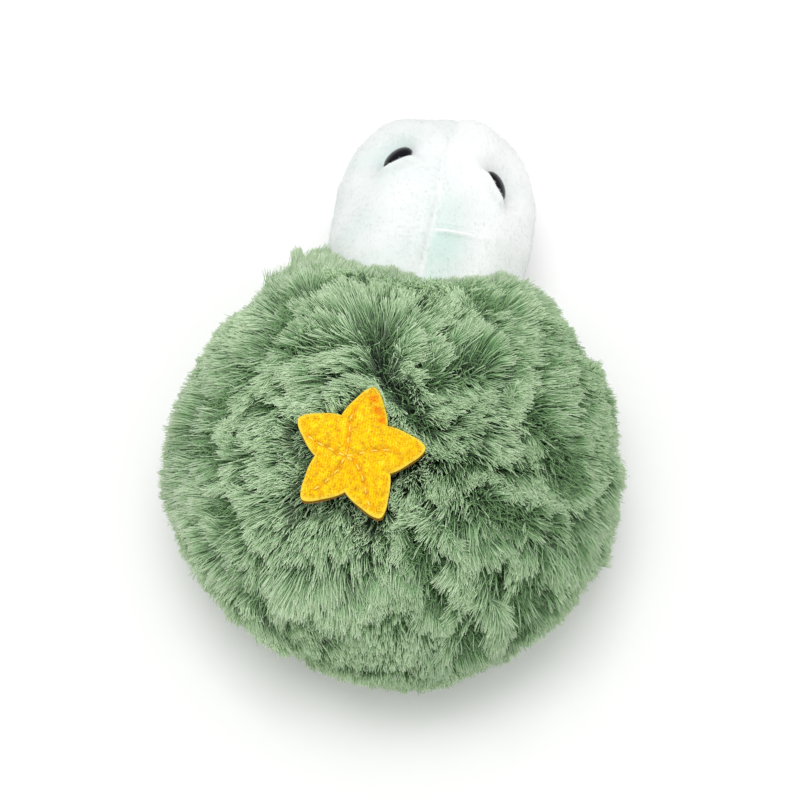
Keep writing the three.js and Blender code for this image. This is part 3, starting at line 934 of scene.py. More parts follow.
def paintedShadeAndCloudAt(points):
    # painted shade: how green the white plush is coloured, with a faint random cloudiness
    shade = 0
    for _, _, hollow in eyes:
        away = ((points - hollow) ** 2).sum(-1)
        shade = shade + paintedShadeAndCloud["hollow"] * np.exp(-away / (2 * paintedShadeAndCloud["hollowReach"] ** 2))
    along, nearDart = dartField(points)
    right = points[..., 0] - seamAt(points[..., 1])
    panel = np.clip(right / paintedShadeAndCloud["panelEdge"], 0, 1)
    panel = panel * bell(np.maximum(right - paintedShadeAndCloud["panelWidth"], 0), paintedShadeAndCloud["panelReach"])
    below = np.where(nearDart < 0, paintedShadeAndCloud["panel"], paintedShadeAndCloud["ahead"] * bell(nearDart, paintedShadeAndCloud["aheadReach"]))
    shade = shade + panel * below / (1 + np.exp(-2 * points[..., 2]))
    shade = shade + paintedShadeAndCloud["left"] * np.clip(0.6 - right / 2, 0, 1)
    ridge = bell(nearDart + paintedShadeAndCloud["ridge"], paintedShadeAndCloud["ridgeReach"])
    ridge = ridge * np.clip(along / 0.1, 0, 1) * np.clip((1.1 - along) / 0.1, 0, 1)
    shade = shade * (1 - ridge) + paintedShadeAndCloud["cloud"] * smoothNoise(points, 33, paintedShadeAndCloud["cloudSize"])
    return np.clip(shade, 0, 1)


def headGrid():
    roundSteps = np.linspace(0, np.pi / 2, headDetail["rings"])
    curve = 2 / head["fullness"]
    neckRings = headDetail["neckRings"]
    y = np.concatenate([np.linspace(-head["neck"] - head["root"], 0, neckRings, endpoint=False),
                        head["front"] * np.sin(roundSteps) ** curve])
    radius = np.concatenate([headHalfWidth(y[:neckRings]), head["width"] / 2 * np.cos(roundSteps) ** curve])
    radius[-1] = 0.02
    around = (np.arange(headDetail["sides"]) + 0.5) * 2 * np.pi / headDetail["sides"]
    flat = head["height"] / head["width"]
    return np.stack([radius[:, None] * np.sin(around), np.broadcast_to(y[:, None], (len(y), len(around))),
                     radius[:, None] * flat * np.cos(around)], -1)


headFuzz = {"fibres": 26000, "length": 0.8, "width": 0.04, "lean": 78.0, "swing": 14.0, "toneSpread": 0.18,
            "seed": 41}


def makeHead():
    grid = headGrid()
    shade = paintedShadeAndCloudAt(grid)
    blown = inflate(drawIn(grid, headDetail["slack"]), sewnDown(grid), headDetail["step"],
                    headDetail["pressure"], headDetail["cap"])
    points = fromHead((shapeHead(grid) + blown).reshape(-1, 3))
    faces = gridFaces(*grid.shape[:2])
    piece = makeMesh("head_plush", points, closedStrip(grid, flip=False), mintPlush)
    # the painted shade and cloudiness, as an attribute that colours the plush
    addShade(piece, "paintedShadeAndCloud", shade)
    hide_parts("head_cover_left", "head_cover_right")

    def nap(roots):
        # brushed from the nose to the neck, and a little across toward the seam on the left
        local = toHead(roots)
        across = np.where(local[:, 0] < 0, 0.55, 0.1) * bell(local[:, 0], 9)
        return np.stack([across, -np.ones(len(roots)), np.zeros(len(roots))], -1) @ headMatrix.T

    def shown(places):
        # not where the neck is inside the shell, nor under an eye
        local = toHead(places)
        clear = np.linalg.norm(places[:, :2], axis=-1) > 20
        for spot in eyes:
            place = fromHead(eyeFrame(spot)[0])
            clear = clear & (np.linalg.norm(places - place, axis=-1) > 2.7)
        return clear & (local[:, 1] > -head["neck"] - 2)

    # the fuzz takes the same painted shade in its tones
    tone = lambda roots: 0.75 - 0.65 * paintedShadeAndCloudAt(toHead(roots))
    growFuzz("head_fuzz", points, halves(faces), headFuzz, mintPile, nap, tone, shown)


makeHead()
print("head made")

eye = {"radius": 3.0, "height": 2.2, "rim": 0.4}


def makeEye(name, spot, node):
    place, out = eyeFrame(spot)
    place, out = fromHead(place), headMatrix @ out
    angles = np.linspace(0, np.pi / 2, 24)
    profile = [(0.02, 0.0), (eye["radius"] - 0.15, 0.0), (eye["radius"], 0.12)]
    dome = eye["height"] - eye["rim"]
    profile += [(eye["radius"] * math.cos(a), eye["rim"] + dome * math.sin(a)) for a in angles]
    profile[-1] = (0.02, eye["height"])
    profile = np.array(profile)
    side = unit(np.cross(out, [0, 0, 1.0]))
    other = np.cross(out, side)
    turns = np.arange(64) * 2 * np.pi / 64
    spokes = np.cos(turns)[:, None] * side + np.sin(turns)[:, None] * other
    points = place + profile[:, 1][:, None, None] * out + profile[:, 0][:, None, None] * spokes
    faces = gridFaces(len(profile), 64)
    piece = makeMesh(name, points.reshape(-1, 3), faces, blackAbs)
    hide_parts(node)


makeEye("eye_dome_left", eyes[0], "eye_left")
makeEye("eye_dome_right", eyes[1], "eye_right")
print("eyes made")


# star
starDetail = {
    "rings": 57,
    "sides": 320,
    "start": 0.8,             # share of the crown that the felt has before it is blown up
    "pressure": 5.0,
    "cap": 0.9,
    "groove": 0.22,           # how deep a line of stitches pulls the felt in
    "grooveReach": 0.42,
    "thread": 0.3,
    "stitch": 1.15,
    "stitchGap": 0.75,
    "fuzzed": 6000,
    # darker amber patches: place and reach
    "amberPatches": ((1.4, 7.2, 0.5), (2.2, 6.7, 0.8), (2.9, 5.7, 0.6), (0.6, 9.0, 1.1)),
}
# lines of stitches, in millimetres from the middle of the star with its top arm upright
stitchLines = [
    [(-1.3, -1.3), (-1.5, 0.6), (-1.8, 2.7), (-2.2, 4.9), (-1.9, 6.8)],
    [(-1.3, -1.3), (-3.7, -0.7), (-6.1, -0.1), (-8.3, 0.8)],
    [(-1.3, -1.3), (0.4, -1.8), (1.8, -3.3), (2.9, -5.1), (3.8, -7.0), (4.9, -8.2)],
    [(-1.3, -1.3), (0.7, -0.4), (2.4, 0.5), (4.4, 1.2), (6.6, 1.5)],
    [(-1.3, -1.3), (-1.9, -3.6), (-3.4, -5.9), (-5.2, -7.6)],
]


def roundLine(points, spacing):
    # even steps along a line through the points
    points = np.array(points, float)
    run = np.concatenate([[0], np.cumsum(np.linalg.norm(np.diff(points, axis=0), axis=-1))])
    at = np.arange(0, run[-1], spacing)
    return np.stack([np.interp(at, run, points[:, i]) for i in range(points.shape[1])], -1)


def stitchDistance(x, y):
    line = np.concatenate([roundLine(points, 0.15) for points in stitchLines])
    away = np.full(np.shape(x), 99.0)
    for px, py in line:
        away = np.minimum(away, np.hypot(x - px, y - py))
    return away


def starPlace(x, y, lift):
    wx, wy = starWorld(x, y)
    return np.stack([wx, wy, pileHeight(wx, wy) - star["sink"] + lift], -1)


def makeStar():
    share = np.sin(np.linspace(0, 1, starDetail["rings"]) * np.pi / 2)[:, None]
    share[0] = 0.001
    angle = np.arange(starDetail["sides"]) * 2 * np.pi / starDetail["sides"]
    x = share * starRadiusAt(angle) * np.cos(angle)
    y = share * starRadiusAt(angle) * np.sin(angle)
    swell = star["crown"] * (1 - share ** star["crownReach"]) ** star["crownEdge"] + 0 * x
    away = stitchDistance(x, y)
    groove = bell(away, starDetail["grooveReach"])
    base = star["felt"] + star["gap"]
    start = starPlace(x, y, base + star["felt"] + starDetail["start"] * swell * (1 - 0.35 * groove))
    sewn = np.where((away < 0.3) | (share > 0.985), 1.0, 0.0)
    blown = start + inflate(start, sewn, 2, starDetail["pressure"], starDetail["cap"], flip=True)
    flat = np.stack([x, y, 0 * x], -1)
    nub = 0.05 * smoothNoise(flat, 53, 0.9) + 0.07 * smoothNoise(blown, 54, 2.6)     # unevenness of the felt
    over = blown.copy()
    over[..., 2] += (nub - starDetail["groove"] * groove) * (1 - share ** 8)
    under = starPlace(x, y, np.full(x.shape, base) + 0.25 * swell)
    points = np.concatenate([over, under[::-1]])
    piece = makeMesh("star_felt", points.reshape(-1, 3), closedStrip(points), yellowFelt)
    # the cut edge, shaded from 1 at the rim to 2 below it, is coloured darker than the brushed face: painted
    # shade under the star's edge
    addShade(piece, "edge", np.concatenate([share + 0 * x, 2 + 0 * x]))
    amberPatches = sum(np.exp(-((x - px) ** 2 + (y - py) ** 2) / reach ** 2) for px, py, reach in starDetail["amberPatches"])
    amberPatches = np.clip(amberPatches * (0.75 + 0.5 * smoothNoise(flat, 55, 0.8)), 0, 1)
    addShade(piece, "amberPatches", np.concatenate([amberPatches, amberPatches[::-1]]))
    # painted shade: the grooves of the stitch lines, read by the felt's colour
    addShade(piece, "sewn", np.concatenate([groove, groove[::-1]]))
    return piece, over, x, y


starPiece, starTop, starX, starY = makeStar()
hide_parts("star_front")


def makeStitches():
    # each stitch rises from the felt, lies on it and goes down again
    flat = np.stack([starX, starY, 0 * starX], -1).reshape(-1, 3)
    pitch = starDetail["stitch"] + starDetail["stitchGap"]
    paths = []
    for points in stitchLines:
        run = roundLine(points, 0.05)
        for first in np.arange(0.2, (len(run) - 1) * 0.05 - starDetail["stitch"], pitch):
            at = first + np.linspace(0, starDetail["stitch"], 7)
            paths.append(run[(at / 0.05).astype(int)])
    paths = np.array(paths)
    level = np.concatenate([paths, 0 * paths[..., :1]], -1)
    spot = nearest(level.reshape(-1, 3), flat)
    height = starTop.reshape(-1, 3)[spot, 2].reshape(paths.shape[:2])
    world = starPlace(paths[..., 0], paths[..., 1], 0 * paths[..., 0])
    world[..., 2] = height.mean(-1, keepdims=True) + 0.3 * np.sin(np.linspace(0, np.pi, 7)) - 0.12
    thread = fibreMesh("star_stitches", world, np.full(paths.shape[:2], starDetail["thread"]),
                       np.full(len(paths), 0.5), yellowThread, sides=6)

    settings = {"fibres": starDetail["fuzzed"], "length": 0.6, "width": 0.06, "lean": 66.0, "swing": 60.0,
                "toneSpread": 0.3, "seed": 47}
    flow = lambda roots: np.stack([smoothNoise(roots, 48, 2.0), smoothNoise(roots, 49, 2.0),
                                   0 * roots[:, 0]], -1)
    faces = halves(gridFaces(*starTop.shape[:2], flip=True))
    inside = lambda places: np.hypot(*starLocal(places[:, 0], places[:, 1])) < starRadiusAt(
        np.arctan2(*starLocal(places[:, 0], places[:, 1])[::-1])) - 0.45
    growFuzz("star_fuzz", starTop.reshape(-1, 3), faces, settings, yellowPile, flow,
             keep=inside)
    print("star made:", len(paths), "stitches")


makeStitches()


# long pile
fur = {
    "fibres": 172000,
    "length": 12.6,
    "width": 0.155,
    "tuftSpacing": 8.0,      # between the tufts left to chance
    "locks": 8000,           # small bundles of fibres, whose tips draw together
    "lean": 36.0,            # degrees from the surface's normal, of the tufts left to chance
    "leanSpread": 13.0,
    "turnSpread": 26.0,      # degrees between the flow and a tuft
    "saw": 23.0,             # degrees that the back of a tuft lies flatter, and its front stands up
    "fan": 20.0,             # degrees that its sides turn away
    "halfTuft": 4.0,
    "shortTuft": 2.5,        # a tuft whose tips lie nearer its base than this has no heading of its own
    "tuftMiddle": 2.0,       # from the base of a tuft to its middle
    "tuftLean": 7.0,         # degrees that tufts lean more or less than the photograph shows
    "lockTurn": 11.0,        # degrees that locks turn and lean within a tuft
    "lockLean": 6.0,
    "rootSink": 0.3,         # roots start this far inside the backing
    "clearNeck": 0.4,        # and this far into the neck
    "starThin": 0.6,         # share of the fibres left out under the star
    "starEdge": 0.6,         # which begins this far inside its outline
    "tuftTone": 0.08,        # how much lighter or darker tufts, locks and fibres are
    "lockTone": 0.09,
    "fibreTone": 0.26,
    "ragged": 0.9,           # how unevenly the pile ends at the neck
    "eddy": 14.0,            # degrees that the pile swirls within a tuft
    "cross": 13.0,           # degrees that single fibres cross their lock
    "stand": 16.0,           # degrees that whole patches stand up straighter
    "curl": 0.4,             # how far a fibre bows to the side
    "short": 0.28,           # share of the fibres that are short
    "shortSwing": 55.0,      # degrees that they point any way
    "shortLean": (26, 9),    # their lean in degrees: mean and spread
    "shortLength": (0.42, 0.7),      # of the long ones
    "fly": 0.06,             # share of the fibres that fly out of their tuft
    "baseHeight": 1.5,       # over the backing, where the photograph shows the base of a tuft
    "tipHeight": 8.0,        # and its tips
    "partHeight": 3.0,       # and a parting
    "part": 1.1,             # how hard the pile leans away from a parting
    "partReach": 2.4,        # and how far off that reaches
    "whorl": (-3.8, 8.2),    # the pile flows outward from here
    "whorlStand": 0.6,       # how much straighter it stands there
    "whorlReach": 3.5,
    "starStand": 0.8,        # and beside the star
    "starShort": 0.24,       # share by which it's shorter there
    "starReach": 2.1,
    "pressed": 5.2,          # length of a fibre under the star
    "pressedLean": 20,
    "tuftDraw": (0, 0.13, 0.28, 0.32),     # how far fibres draw together in a tuft, from root to tip
    "lockDraw": (0, 0.16, 0.36, 0.46),     # and in a lock
    "piece": 9800,           # fibres in one mesh
    "seed": 11,
}

# tufts noted on the photograph, in its pixels from the left and from the top: base and tips of each
tuftMarks = [
    # neck and the bare places above the star
    (425,302,421,268), (447,305,451,270), (470,303,482,268), (402,297,397,264), (500,300,511,266),
    (432,396,434,385), (418,382,412,364), (447,400,456,392), (404,372,402,360), (436,380,446,368),
    # whorl fans
    (372,350,325,305), (380,348,362,297), (385,350,400,302), (389,354,426,320), (366,352,304,349),
    # toward the neck
    (343,290,318,248), (362,290,352,268), (384,294,382,274), (404,296,402,278), (424,298,424,282),
    (446,298,446,280), (474,328,488,290), (484,332,522,300), (470,300,470,274), (502,292,512,266),
    (524,300,536,276),
    # upper left
    (312,318,278,268), (296,300,262,272), (270,312,238,298), (296,332,256,318), (320,338,286,316),
    (248,330,214,326), (288,352,246,346), (240,356,200,356),
    # upper right
    (424,340,456,312), (436,352,470,330), (436,374,490,352), (484,352,528,338), (520,362,562,356),
    (528,330,566,316), (548,304,580,318), (562,350,606,366), (552,372,600,384),
    # right
    (448,412,486,400), (484,404,524,412), (526,398,570,392), (560,404,606,412), (600,420,630,430),
    (528,420,566,440), (548,440,588,452), (596,452,628,458), (440,440,450,432), (470,440,490,436),
    (500,440,522,452), (470,468,480,478), (506,468,528,486), (552,470,592,484), (590,480,616,492),
    # left
    (336,378,276,372), (300,384,250,392), (262,378,214,380), (228,396,180,396), (320,400,292,404),
    (286,408,240,418), (238,420,176,424), (292,436,248,446), (232,446,168,452), (262,462,206,466),
    (296,470,256,480), (228,478,164,486),
    # lower left
    (296,490,240,500), (240,500,180,508), (300,500,252,540), (248,520,196,532), (306,506,278,560),
    (262,548,222,578), (220,544,188,556), (282,566,262,612), (240,580,214,606),
    # below the star
    (320,520,306,568), (346,520,342,560), (380,520,372,560), (316,548,298,606), (330,548,336,626),
    (350,556,372,644), (388,550,392,596), (404,560,416,600),
    # the big fan right of the star
    (448,508,404,528), (452,510,428,560), (458,510,462,574), (468,506,502,552), (416,486,404,508),
    (440,482,436,500), (486,488,500,512), (516,498,546,520),
    # lower right
    (532,526,520,624), (546,516,562,588), (560,506,600,534), (586,510,620,520), (572,540,606,560),
    (560,566,590,604), (486,576,478,648), (470,560,456,606), (500,600,508,650), (540,600,552,640),
    (580,590,602,606), (436,580,438,624),
    # lower tiers
    (266,588,290,646), (240,606,238,636), (294,600,300,642), (330,620,334,660), (372,606,376,646),
    (404,612,404,652), (440,616,440,650), (270,640,272,668), (308,644,326,688), (352,646,354,682),
    (392,650,394,686), (424,650,428,680), (470,646,478,680), (510,646,526,668), (548,632,566,652),
    (576,606,600,624), (528,620,540,652),
]
# partings between them, noted in the same way as lines
partingMarks = [
    [(524,415),(546,452),(553,476)],
    [(531,527),(518,572),(501,614)],
    [(472,598),(454,630)],
    [(422,530),(428,556),(438,580)],
    [(300,336),(273,369),(254,398),(226,437)],
    [(288,292),(314,302)],
    [(441,286),(462,302),(476,320)],
    [(262,566),(270,592)],
    [(346,662),(370,680)],
    [(408,362),(426,384)],
    [(308,358),(364,355)],
    [(436,380),(470,376)],
    [(480,505),(512,516)],
    [(255,520),(262,548)],
    [(590,392),(600,410)],
    [(230,446),(240,468)],
    [(236,534),(258,556)],
]

# the line of the pile on the neck: degrees round the head from its crown, and millimetres ahead of its middle
neckLine = [
    (-160, -17.5), (-125, -15.5), (-105, -13.0), (-95, -9.6), (-85, -9.4), (-70, -11.9), (-50, -15.2),
    (-30, -17.0), (-15, -17.0), (0, -17.9), (10, -17.2), (20, -15.9), (30, -14.0), (40, -12.7), (50, -10.2),
    (60, -10.8), (75, -9.4), (85, -8.6), (95, -9.4), (105, -13.0), (125, -15.5), (160, -17.5),
]
neckPile = {
    "fibres": 19000,
    "turn": 155,             # degrees that the collar goes round to, from the crown to either side
    "cheek": (50, 30),       # degrees where the cheek begins, and over which it takes hold
    "band": 4.1,             # how far off the head the roots stand
    "cheekBand": 3.4,        # and how much further at the left cheek
    "past": 0.8,             # the tips of the shell's own pile reach this far past the line
    "back": 0.36,            # and stay back by this share of their distance from the head
    "far": 14,               # fibres further off the head than this aren't trimmed
    "sink": 0.35,            # the pile presses this far into the plush
    "low": 0.35,             # lowest that a fibre reaches over the steel
    "radius": 18,            # of the neck, roughly
    "lockWidth": 1.3,        # size of a lock round the head
    "lockDepth": 1.2,        # and outward from it
    "run": 3.5,              # length over which a fibre lies along the head
    "piece": 7500,
}


def partingPoints():
    places = []
    for line in partingMarks:
        line = np.unwrap(np.radians(onDome(line, fur["partHeight"])), axis=0)
        t = np.linspace(0, len(line) - 1, 40)
        turns, angles = (np.interp(t, np.arange(len(line)), line[:, i]) for i in (0, 1))
        places.append(corePoint(angles, turns))
    return np.concatenate(places)


def scatter(points, spacing, rng, kept=()):
    # keeps points that are at least the spacing apart, and clear of those already kept
    cell = {}
    for place in kept:
        cell.setdefault(tuple(np.floor(place / spacing).astype(int)), []).append(place)
    chosen = []
    for i in rng.permutation(len(points)):
        place = points[i]
        key = tuple(np.floor(place / spacing).astype(int))
        near = [q for dx in (-1, 0, 1) for dy in (-1, 0, 1) for dz in (-1, 0, 1)
                for q in cell.get((key[0] + dx, key[1] + dy, key[2] + dz), ())]
        if not near or min(((place - q) ** 2).sum() for q in near) >= spacing ** 2:
            cell.setdefault(key, []).append(place)
            chosen.append(i)
    return np.array(chosen)


def sampleCore(count, rng):
    angles = np.linspace(seamAngle, np.pi / 2, 800)
    radius, height = coreRing(angles)
    width = np.hypot(np.diff(radius), np.diff(height))
    area = np.cumsum(np.concatenate([[0], (radius[1:] + radius[:-1]) / 2 * width]))
    angle = np.interp(rng.uniform(0, area[-1], count), area, angles)
    return angle, rng.uniform(0, 2 * np.pi, count)


def outwardFlow(places, normals):
    flow = places - np.array([fur["whorl"][0], fur["whorl"][1], 0])
    flow[:, 2] = 0
    flow = unit(flow + 0.01)
    return unit(flow - normals * (flow * normals).sum(-1, keepdims=True))


def makeTufts(roots, normals, rng):
    # base, heading and lean of every tuft: first those noted on the photograph, then the rest by chance
    marks = np.array(tuftMarks)
    turn, angle = np.radians(onDome(marks[:, :2], fur["baseHeight"])).T
    tipTurn, tipAngle = np.radians(onDome(marks[:, 2:], fur["tipHeight"])).T
    base = corePoint(angle, turn)
    tip = corePoint(tipAngle, tipTurn, fur["tipHeight"])
    normal = coreNormal(angle, turn)
    reach = tip - base
    reach = reach - normal * (reach * normal).sum(-1, keepdims=True)
    distance = np.linalg.norm(reach, axis=-1)
    flow = outwardFlow(base, normal)
    long = distance > fur["shortTuft"]
    heading = np.where(long[:, None], unit(reach), flow)
    lean = 0.8 * np.degrees(np.arctan2(np.clip(distance, 3.0, 11.5), fur["tipHeight"]))
    lean = lean + rng.normal(scale=fur["tuftLean"], size=len(base))
    length = np.clip(1.1 * np.hypot(distance, fur["tipHeight"]), 8.5, 13.0) / fur["length"]
    length = np.where(long, length, 0.9)
    centre = base + heading * fur["tuftMiddle"]
    seeds = scatter(roots[:9000], fur["tuftSpacing"], rng, list(centre))
    swing = np.radians(rng.normal(scale=fur["turnSpread"], size=len(seeds)))
    flow = outwardFlow(roots[seeds], normals[seeds])
    side = np.cross(normals[seeds], flow)
    other = flow * np.cos(swing)[:, None] + side * np.sin(swing)[:, None]
    otherLean = fur["lean"] + rng.normal(scale=fur["leanSpread"], size=len(seeds))
    otherLength = rng.normal(1.0, 0.04, len(seeds))
    return (np.concatenate([centre, roots[seeds]]), np.concatenate([heading, other]),
            np.concatenate([lean, otherLean]), np.concatenate([length, otherLength]))


def neckReach(turn):
    # how far the pile reaches over the head, by the angle round it from its crown
    line = np.array(neckLine, float)
    return np.interp(np.degrees(turn), line[:, 0], line[:, 1])


def offHead(paths, ragged=None):
    # fibres stay outside the head; those given a ragged end are trimmed that far before the pile's line
    local = toHead(paths)
    for _ in range(0 if ragged is None else 2):
        root, tip = local[:, 0], local[:, -1]
        wide, turn = aroundHead(tip)
        beyond = np.maximum(wide - headHalfWidth(tip[:, 1]), 0)
        last = neckReach(turn) + neckPile["past"] - ragged - neckPile["back"] * beyond
        share = np.clip((last - root[:, 1]) / np.maximum(tip[:, 1] - root[:, 1], 0.01), 0.25, 1)
        share = np.where((tip[:, 1] > last) & (beyond < neckPile["far"]), share, 1.0)
        local = root[:, None] + (local - root[:, None]) * share[:, None, None]
    wide, _ = aroundHead(local)
    clear = headHalfWidth(local[..., 1]) - neckPile["sink"]
    ahead = paths[..., 1] > 5
    push = np.where((wide < clear) & ahead, clear / np.maximum(wide, 1e-6), 1.0)
    local[..., 0] *= push
    local[..., 2] *= push
    return fromHead(local)


def growCollar():
    # the pile that lies on the neck, from a band of the backing round it
    rng = np.random.default_rng(fur["seed"] + 1)
    count = neckPile["fibres"]
    turn = np.radians(rng.uniform(-neckPile["turn"], neckPile["turn"], count))
    cheekFrom, cheekOver = neckPile["cheek"]
    side = np.clip((np.abs(np.degrees(turn)) - cheekFrom) / cheekOver, 0, 1)
    out = 0.15 + rng.random(count) ** 1.4 * (neckPile["band"] + neckPile["cheekBand"] * side * (turn < 0))
    spoke = np.stack([np.sin(turn), 0 * turn, np.cos(turn)], -1)

    def over(y, lift):
        width = headHalfWidth(y)
        local = np.stack([width * np.sin(turn), y, width * headFlat * np.cos(turn)], -1)
        return fromHead(local + spoke * lift[:, None])

    # each root is where a line along the head meets the backing, found by halving
    low, high = np.full(count, -head["neck"] - head["root"]), np.full(count, 0.0)
    for _ in range(24):
        middle = (low + high) / 2
        place = over(middle, out)
        radius = np.hypot(place[:, 0], place[:, 1]) / coreRadius
        rise = place[:, 2] - shell["equator"]
        deep = np.where(rise > 0, coreTop - shell["equator"], shell["equator"] + shell["tuck"])
        share = np.abs(rise) / deep
        inside = radius ** shell["fullness"] + share ** shell["fullness"] < 1
        low, high = np.where(inside, middle, low), np.where(inside, high, middle)
    roots = over(middle, out)
    # none below the seam round the belly
    above = roots[:, 2] > shell["seam"]
    turn, out, side, middle, roots = turn[above], out[above], side[above], middle[above], roots[above]
    spoke, count = spoke[above], int(above.sum())
    clump = smoothNoise(np.stack([20 * turn, out, 0 * turn], -1), 81, 2.6)
    cells = np.stack([neckPile["radius"] * turn / neckPile["lockWidth"], out / neckPile["lockDepth"]], -1)
    cells = np.floor(cells + rng.normal(scale=0.3, size=(count, 2)))
    lock = np.unique(cells, axis=0, return_inverse=True)[1].ravel()
    locks = lock.max() + 1
    # fibres further out end further back
    near, far = 0.4, 4.0
    fall = (0.5 + 0.35 * side) * np.minimum(out - near, 3.6) + 1.3 * np.maximum(out - far, 0)
    tip = neckReach(turn) - np.abs(rng.normal(scale=0.8, size=count)) - fall + (0.5 + 0.4 * side) * clump
    loose = 0.3 + 0.7 * np.maximum(side, np.clip(out - 1, 0, 1))
    tip = tip - np.abs(rng.normal(scale=0.9, size=locks))[lock] * loose
    tip = np.maximum(tip, middle + 0.5 + rng.uniform(0, 0.4, count))
    lift = 1.6 * rng.random(count) ** 1.3 - neckPile["sink"] + (0.55 + 0.3 * side) * (out - near) + 0.8 * side
    ends = over(tip, lift)
    stray = 0.7 + 0.25 * np.maximum(out - far, 0)
    ends = ends + np.stack([rng.normal(scale=stray), rng.normal(scale=stray - 0.7),
                            rng.normal(scale=0.2, size=count)], -1)
    ends = ends + rng.normal(scale=(0.9, 0.3, 0.3), size=(locks, 3))[lock] * (0.4 + side[:, None])
    up = unit(roots - np.array([0, 0, shell["equator"]]))
    before = over(tip - neckPile["run"], lift + 0.5)
    t = np.linspace(0, 1, 5)[None, :, None]
    paths = ((1 - t) ** 3 * roots[:, None] + 3 * (1 - t) ** 2 * t * (roots + up * neckPile["run"])[:, None]
             + 3 * (1 - t) * t ** 2 * before[:, None] + t ** 3 * ends[:, None])
    centre = np.stack([np.bincount(lock, paths[:, i, k], locks) for i in range(5) for k in range(3)], -1)
    centre = (centre / np.bincount(lock, minlength=locks)[:, None]).reshape(locks, 5, 3)
    paths = paths + (centre[lock] - paths) * np.array([0, 0.1, 0.3, 0.42, 0.5])[None, :, None]
    paths[:, 1:] += rng.normal(scale=0.07, size=(count, 4, 3))
    paths = offHead(paths)
    paths[..., 2] = np.maximum(paths[..., 2], neckPile["low"])
    widths = fur["width"] * np.array([1.0, 1.0, 1.0, 0.9, 0.65])[None] * rng.uniform(0.75, 1.25, (count, 1))
    tones = 0.46 + 0.1 * clump + rng.normal(scale=0.17, size=locks)[lock]
    tones = np.clip(tones + rng.normal(scale=0.25, size=count), 0, 1)
    order = np.argsort(turn)
    pilePieces("neck_pile", order, neckPile["piece"], paths, widths, tones, greenPile)
    print("pile over the neck made:", count, "fibres")


def plantRoots(rng):
    # none grows inside the neck, and under the star it is pressed short
    angle, around = sampleCore(fur["fibres"], rng)
    roots = corePoint(angle, around, -fur["rootSink"])
    normals = coreNormal(angle, around)
    sx, sy = starLocal(roots[:, 0], roots[:, 1])
    underStar = np.hypot(sx, sy) < starRadiusAt(np.arctan2(sy, sx)) - fur["starEdge"]
    underStar = underStar & (roots[:, 2] > shell["equator"])
    inHead = toHead(roots)
    inNeck = (aroundHead(inHead)[0] < headHalfWidth(inHead[:, 1]) - fur["clearNeck"]) & (roots[:, 1] > 0)
    keep = ~inNeck & ~(underStar & (rng.random(len(roots)) < fur["starThin"]))
    return roots[keep], normals[keep], underStar[keep]


def whorlDistance(roots):
    return np.hypot(roots[:, 0] - fur["whorl"][0], roots[:, 1] - fur["whorl"][1])


def combTufts(roots, normals, offset, heading, lean, lock, rng):
    # heading and lean of each fibre from those of its tuft, and whether it is a short one
    count, locks = len(roots), fur["locks"]
    heading = unit(tangent(heading, normals))
    side = np.cross(normals, heading)
    forward = np.clip((offset * heading).sum(-1) / fur["halfTuft"], -1.4, 1.4)
    sideways = np.clip((offset * side).sum(-1) / fur["halfTuft"], -1.4, 1.4)
    eddy = fur["eddy"] * (smoothNoise(roots, 71, 4.5) + 0.6 * smoothNoise(roots, 72, 2.0))
    swing = np.radians(fur["fan"] * sideways + eddy + rng.normal(scale=fur["lockTurn"], size=locks)[lock]
                       + rng.normal(scale=fur["cross"], size=count))
    standing = fur["stand"] * np.clip(smoothNoise(roots, 73, 11.0), 0, 1)
    lean = lean - fur["saw"] * forward - standing
    lean = lean + rng.normal(scale=fur["lockLean"], size=locks)[lock]
    lean = lean + rng.normal(scale=fur["lockLean"], size=count)
    fly = rng.random(count) < fur["fly"]
    swing = swing + fly * np.radians(rng.normal(scale=35.0, size=count))
    # shorter fibres stand loosely between the long ones and close the ground
    share = (fur["short"] + 0.14 * smoothNoise(roots, 74, 9.0)) * (1 - 0.3 * bell(whorlDistance(roots), 5))
    short = rng.random(count) < share
    swing = swing + np.where(short, np.radians(rng.normal(scale=fur["shortSwing"], size=count)), 0.0)
    lean = np.where(short, rng.normal(*fur["shortLean"], count), lean - fly * 10)
    heading = heading * np.cos(swing)[:, None] + side * np.sin(swing)[:, None]
    return heading, np.radians(np.clip(lean, 4, 84)), short


def turnAside(roots, normals, heading, lean, short):
    # the pile turns away from its partings and from the star
    line = partingPoints()
    fromLine = tangent(roots - line[nearest(roots, line)], normals)
    gap = np.linalg.norm(fromLine, axis=-1)
    sx, sy = starLocal(roots[:, 0], roots[:, 1])
    beyond = np.hypot(sx, sy) - starRadiusAt(np.arctan2(sy, sx))
    beyond = np.where(roots[:, 2] > shell["equator"], np.maximum(beyond, 0), 99)
    fromStar = unit(tangent(roots - np.array([star["x"], star["y"], coreTop]), normals))
    bend = heading * np.tan(lean)[:, None]
    parted = fur["part"] * bell(gap, fur["partReach"]) * np.where(short, 0.0, 1.0)
    bend = bend + unit(fromLine) * parted[:, None]
    toward = np.minimum((bend * fromStar).sum(-1), 0) * bell(beyond, 7)
    bend = bend - fromStar * toward[:, None]
    byStar = bell(beyond, fur["starReach"])
    bend = bend * (1 - fur["starStand"] * byStar)[:, None]
    # round the whorl it stands up, so that its crown stays closed
    bend = bend * (1 - fur["whorlStand"] * bell(whorlDistance(roots), fur["whorlReach"]))[:, None]
    return unit(bend), np.arctan(np.linalg.norm(bend, axis=-1)), byStar


def gather(paths, groups, share, amounts):
    # draws the fibres of each group together
    total = np.zeros((groups.max() + 1, *paths.shape[1:]))
    np.add.at(total, groups, paths)
    mean = total / np.maximum(np.bincount(groups, minlength=len(total)), 1)[:, None, None]
    return paths + (mean[groups] - paths) * (share[:, None, None] * np.array(amounts)[None, :, None])


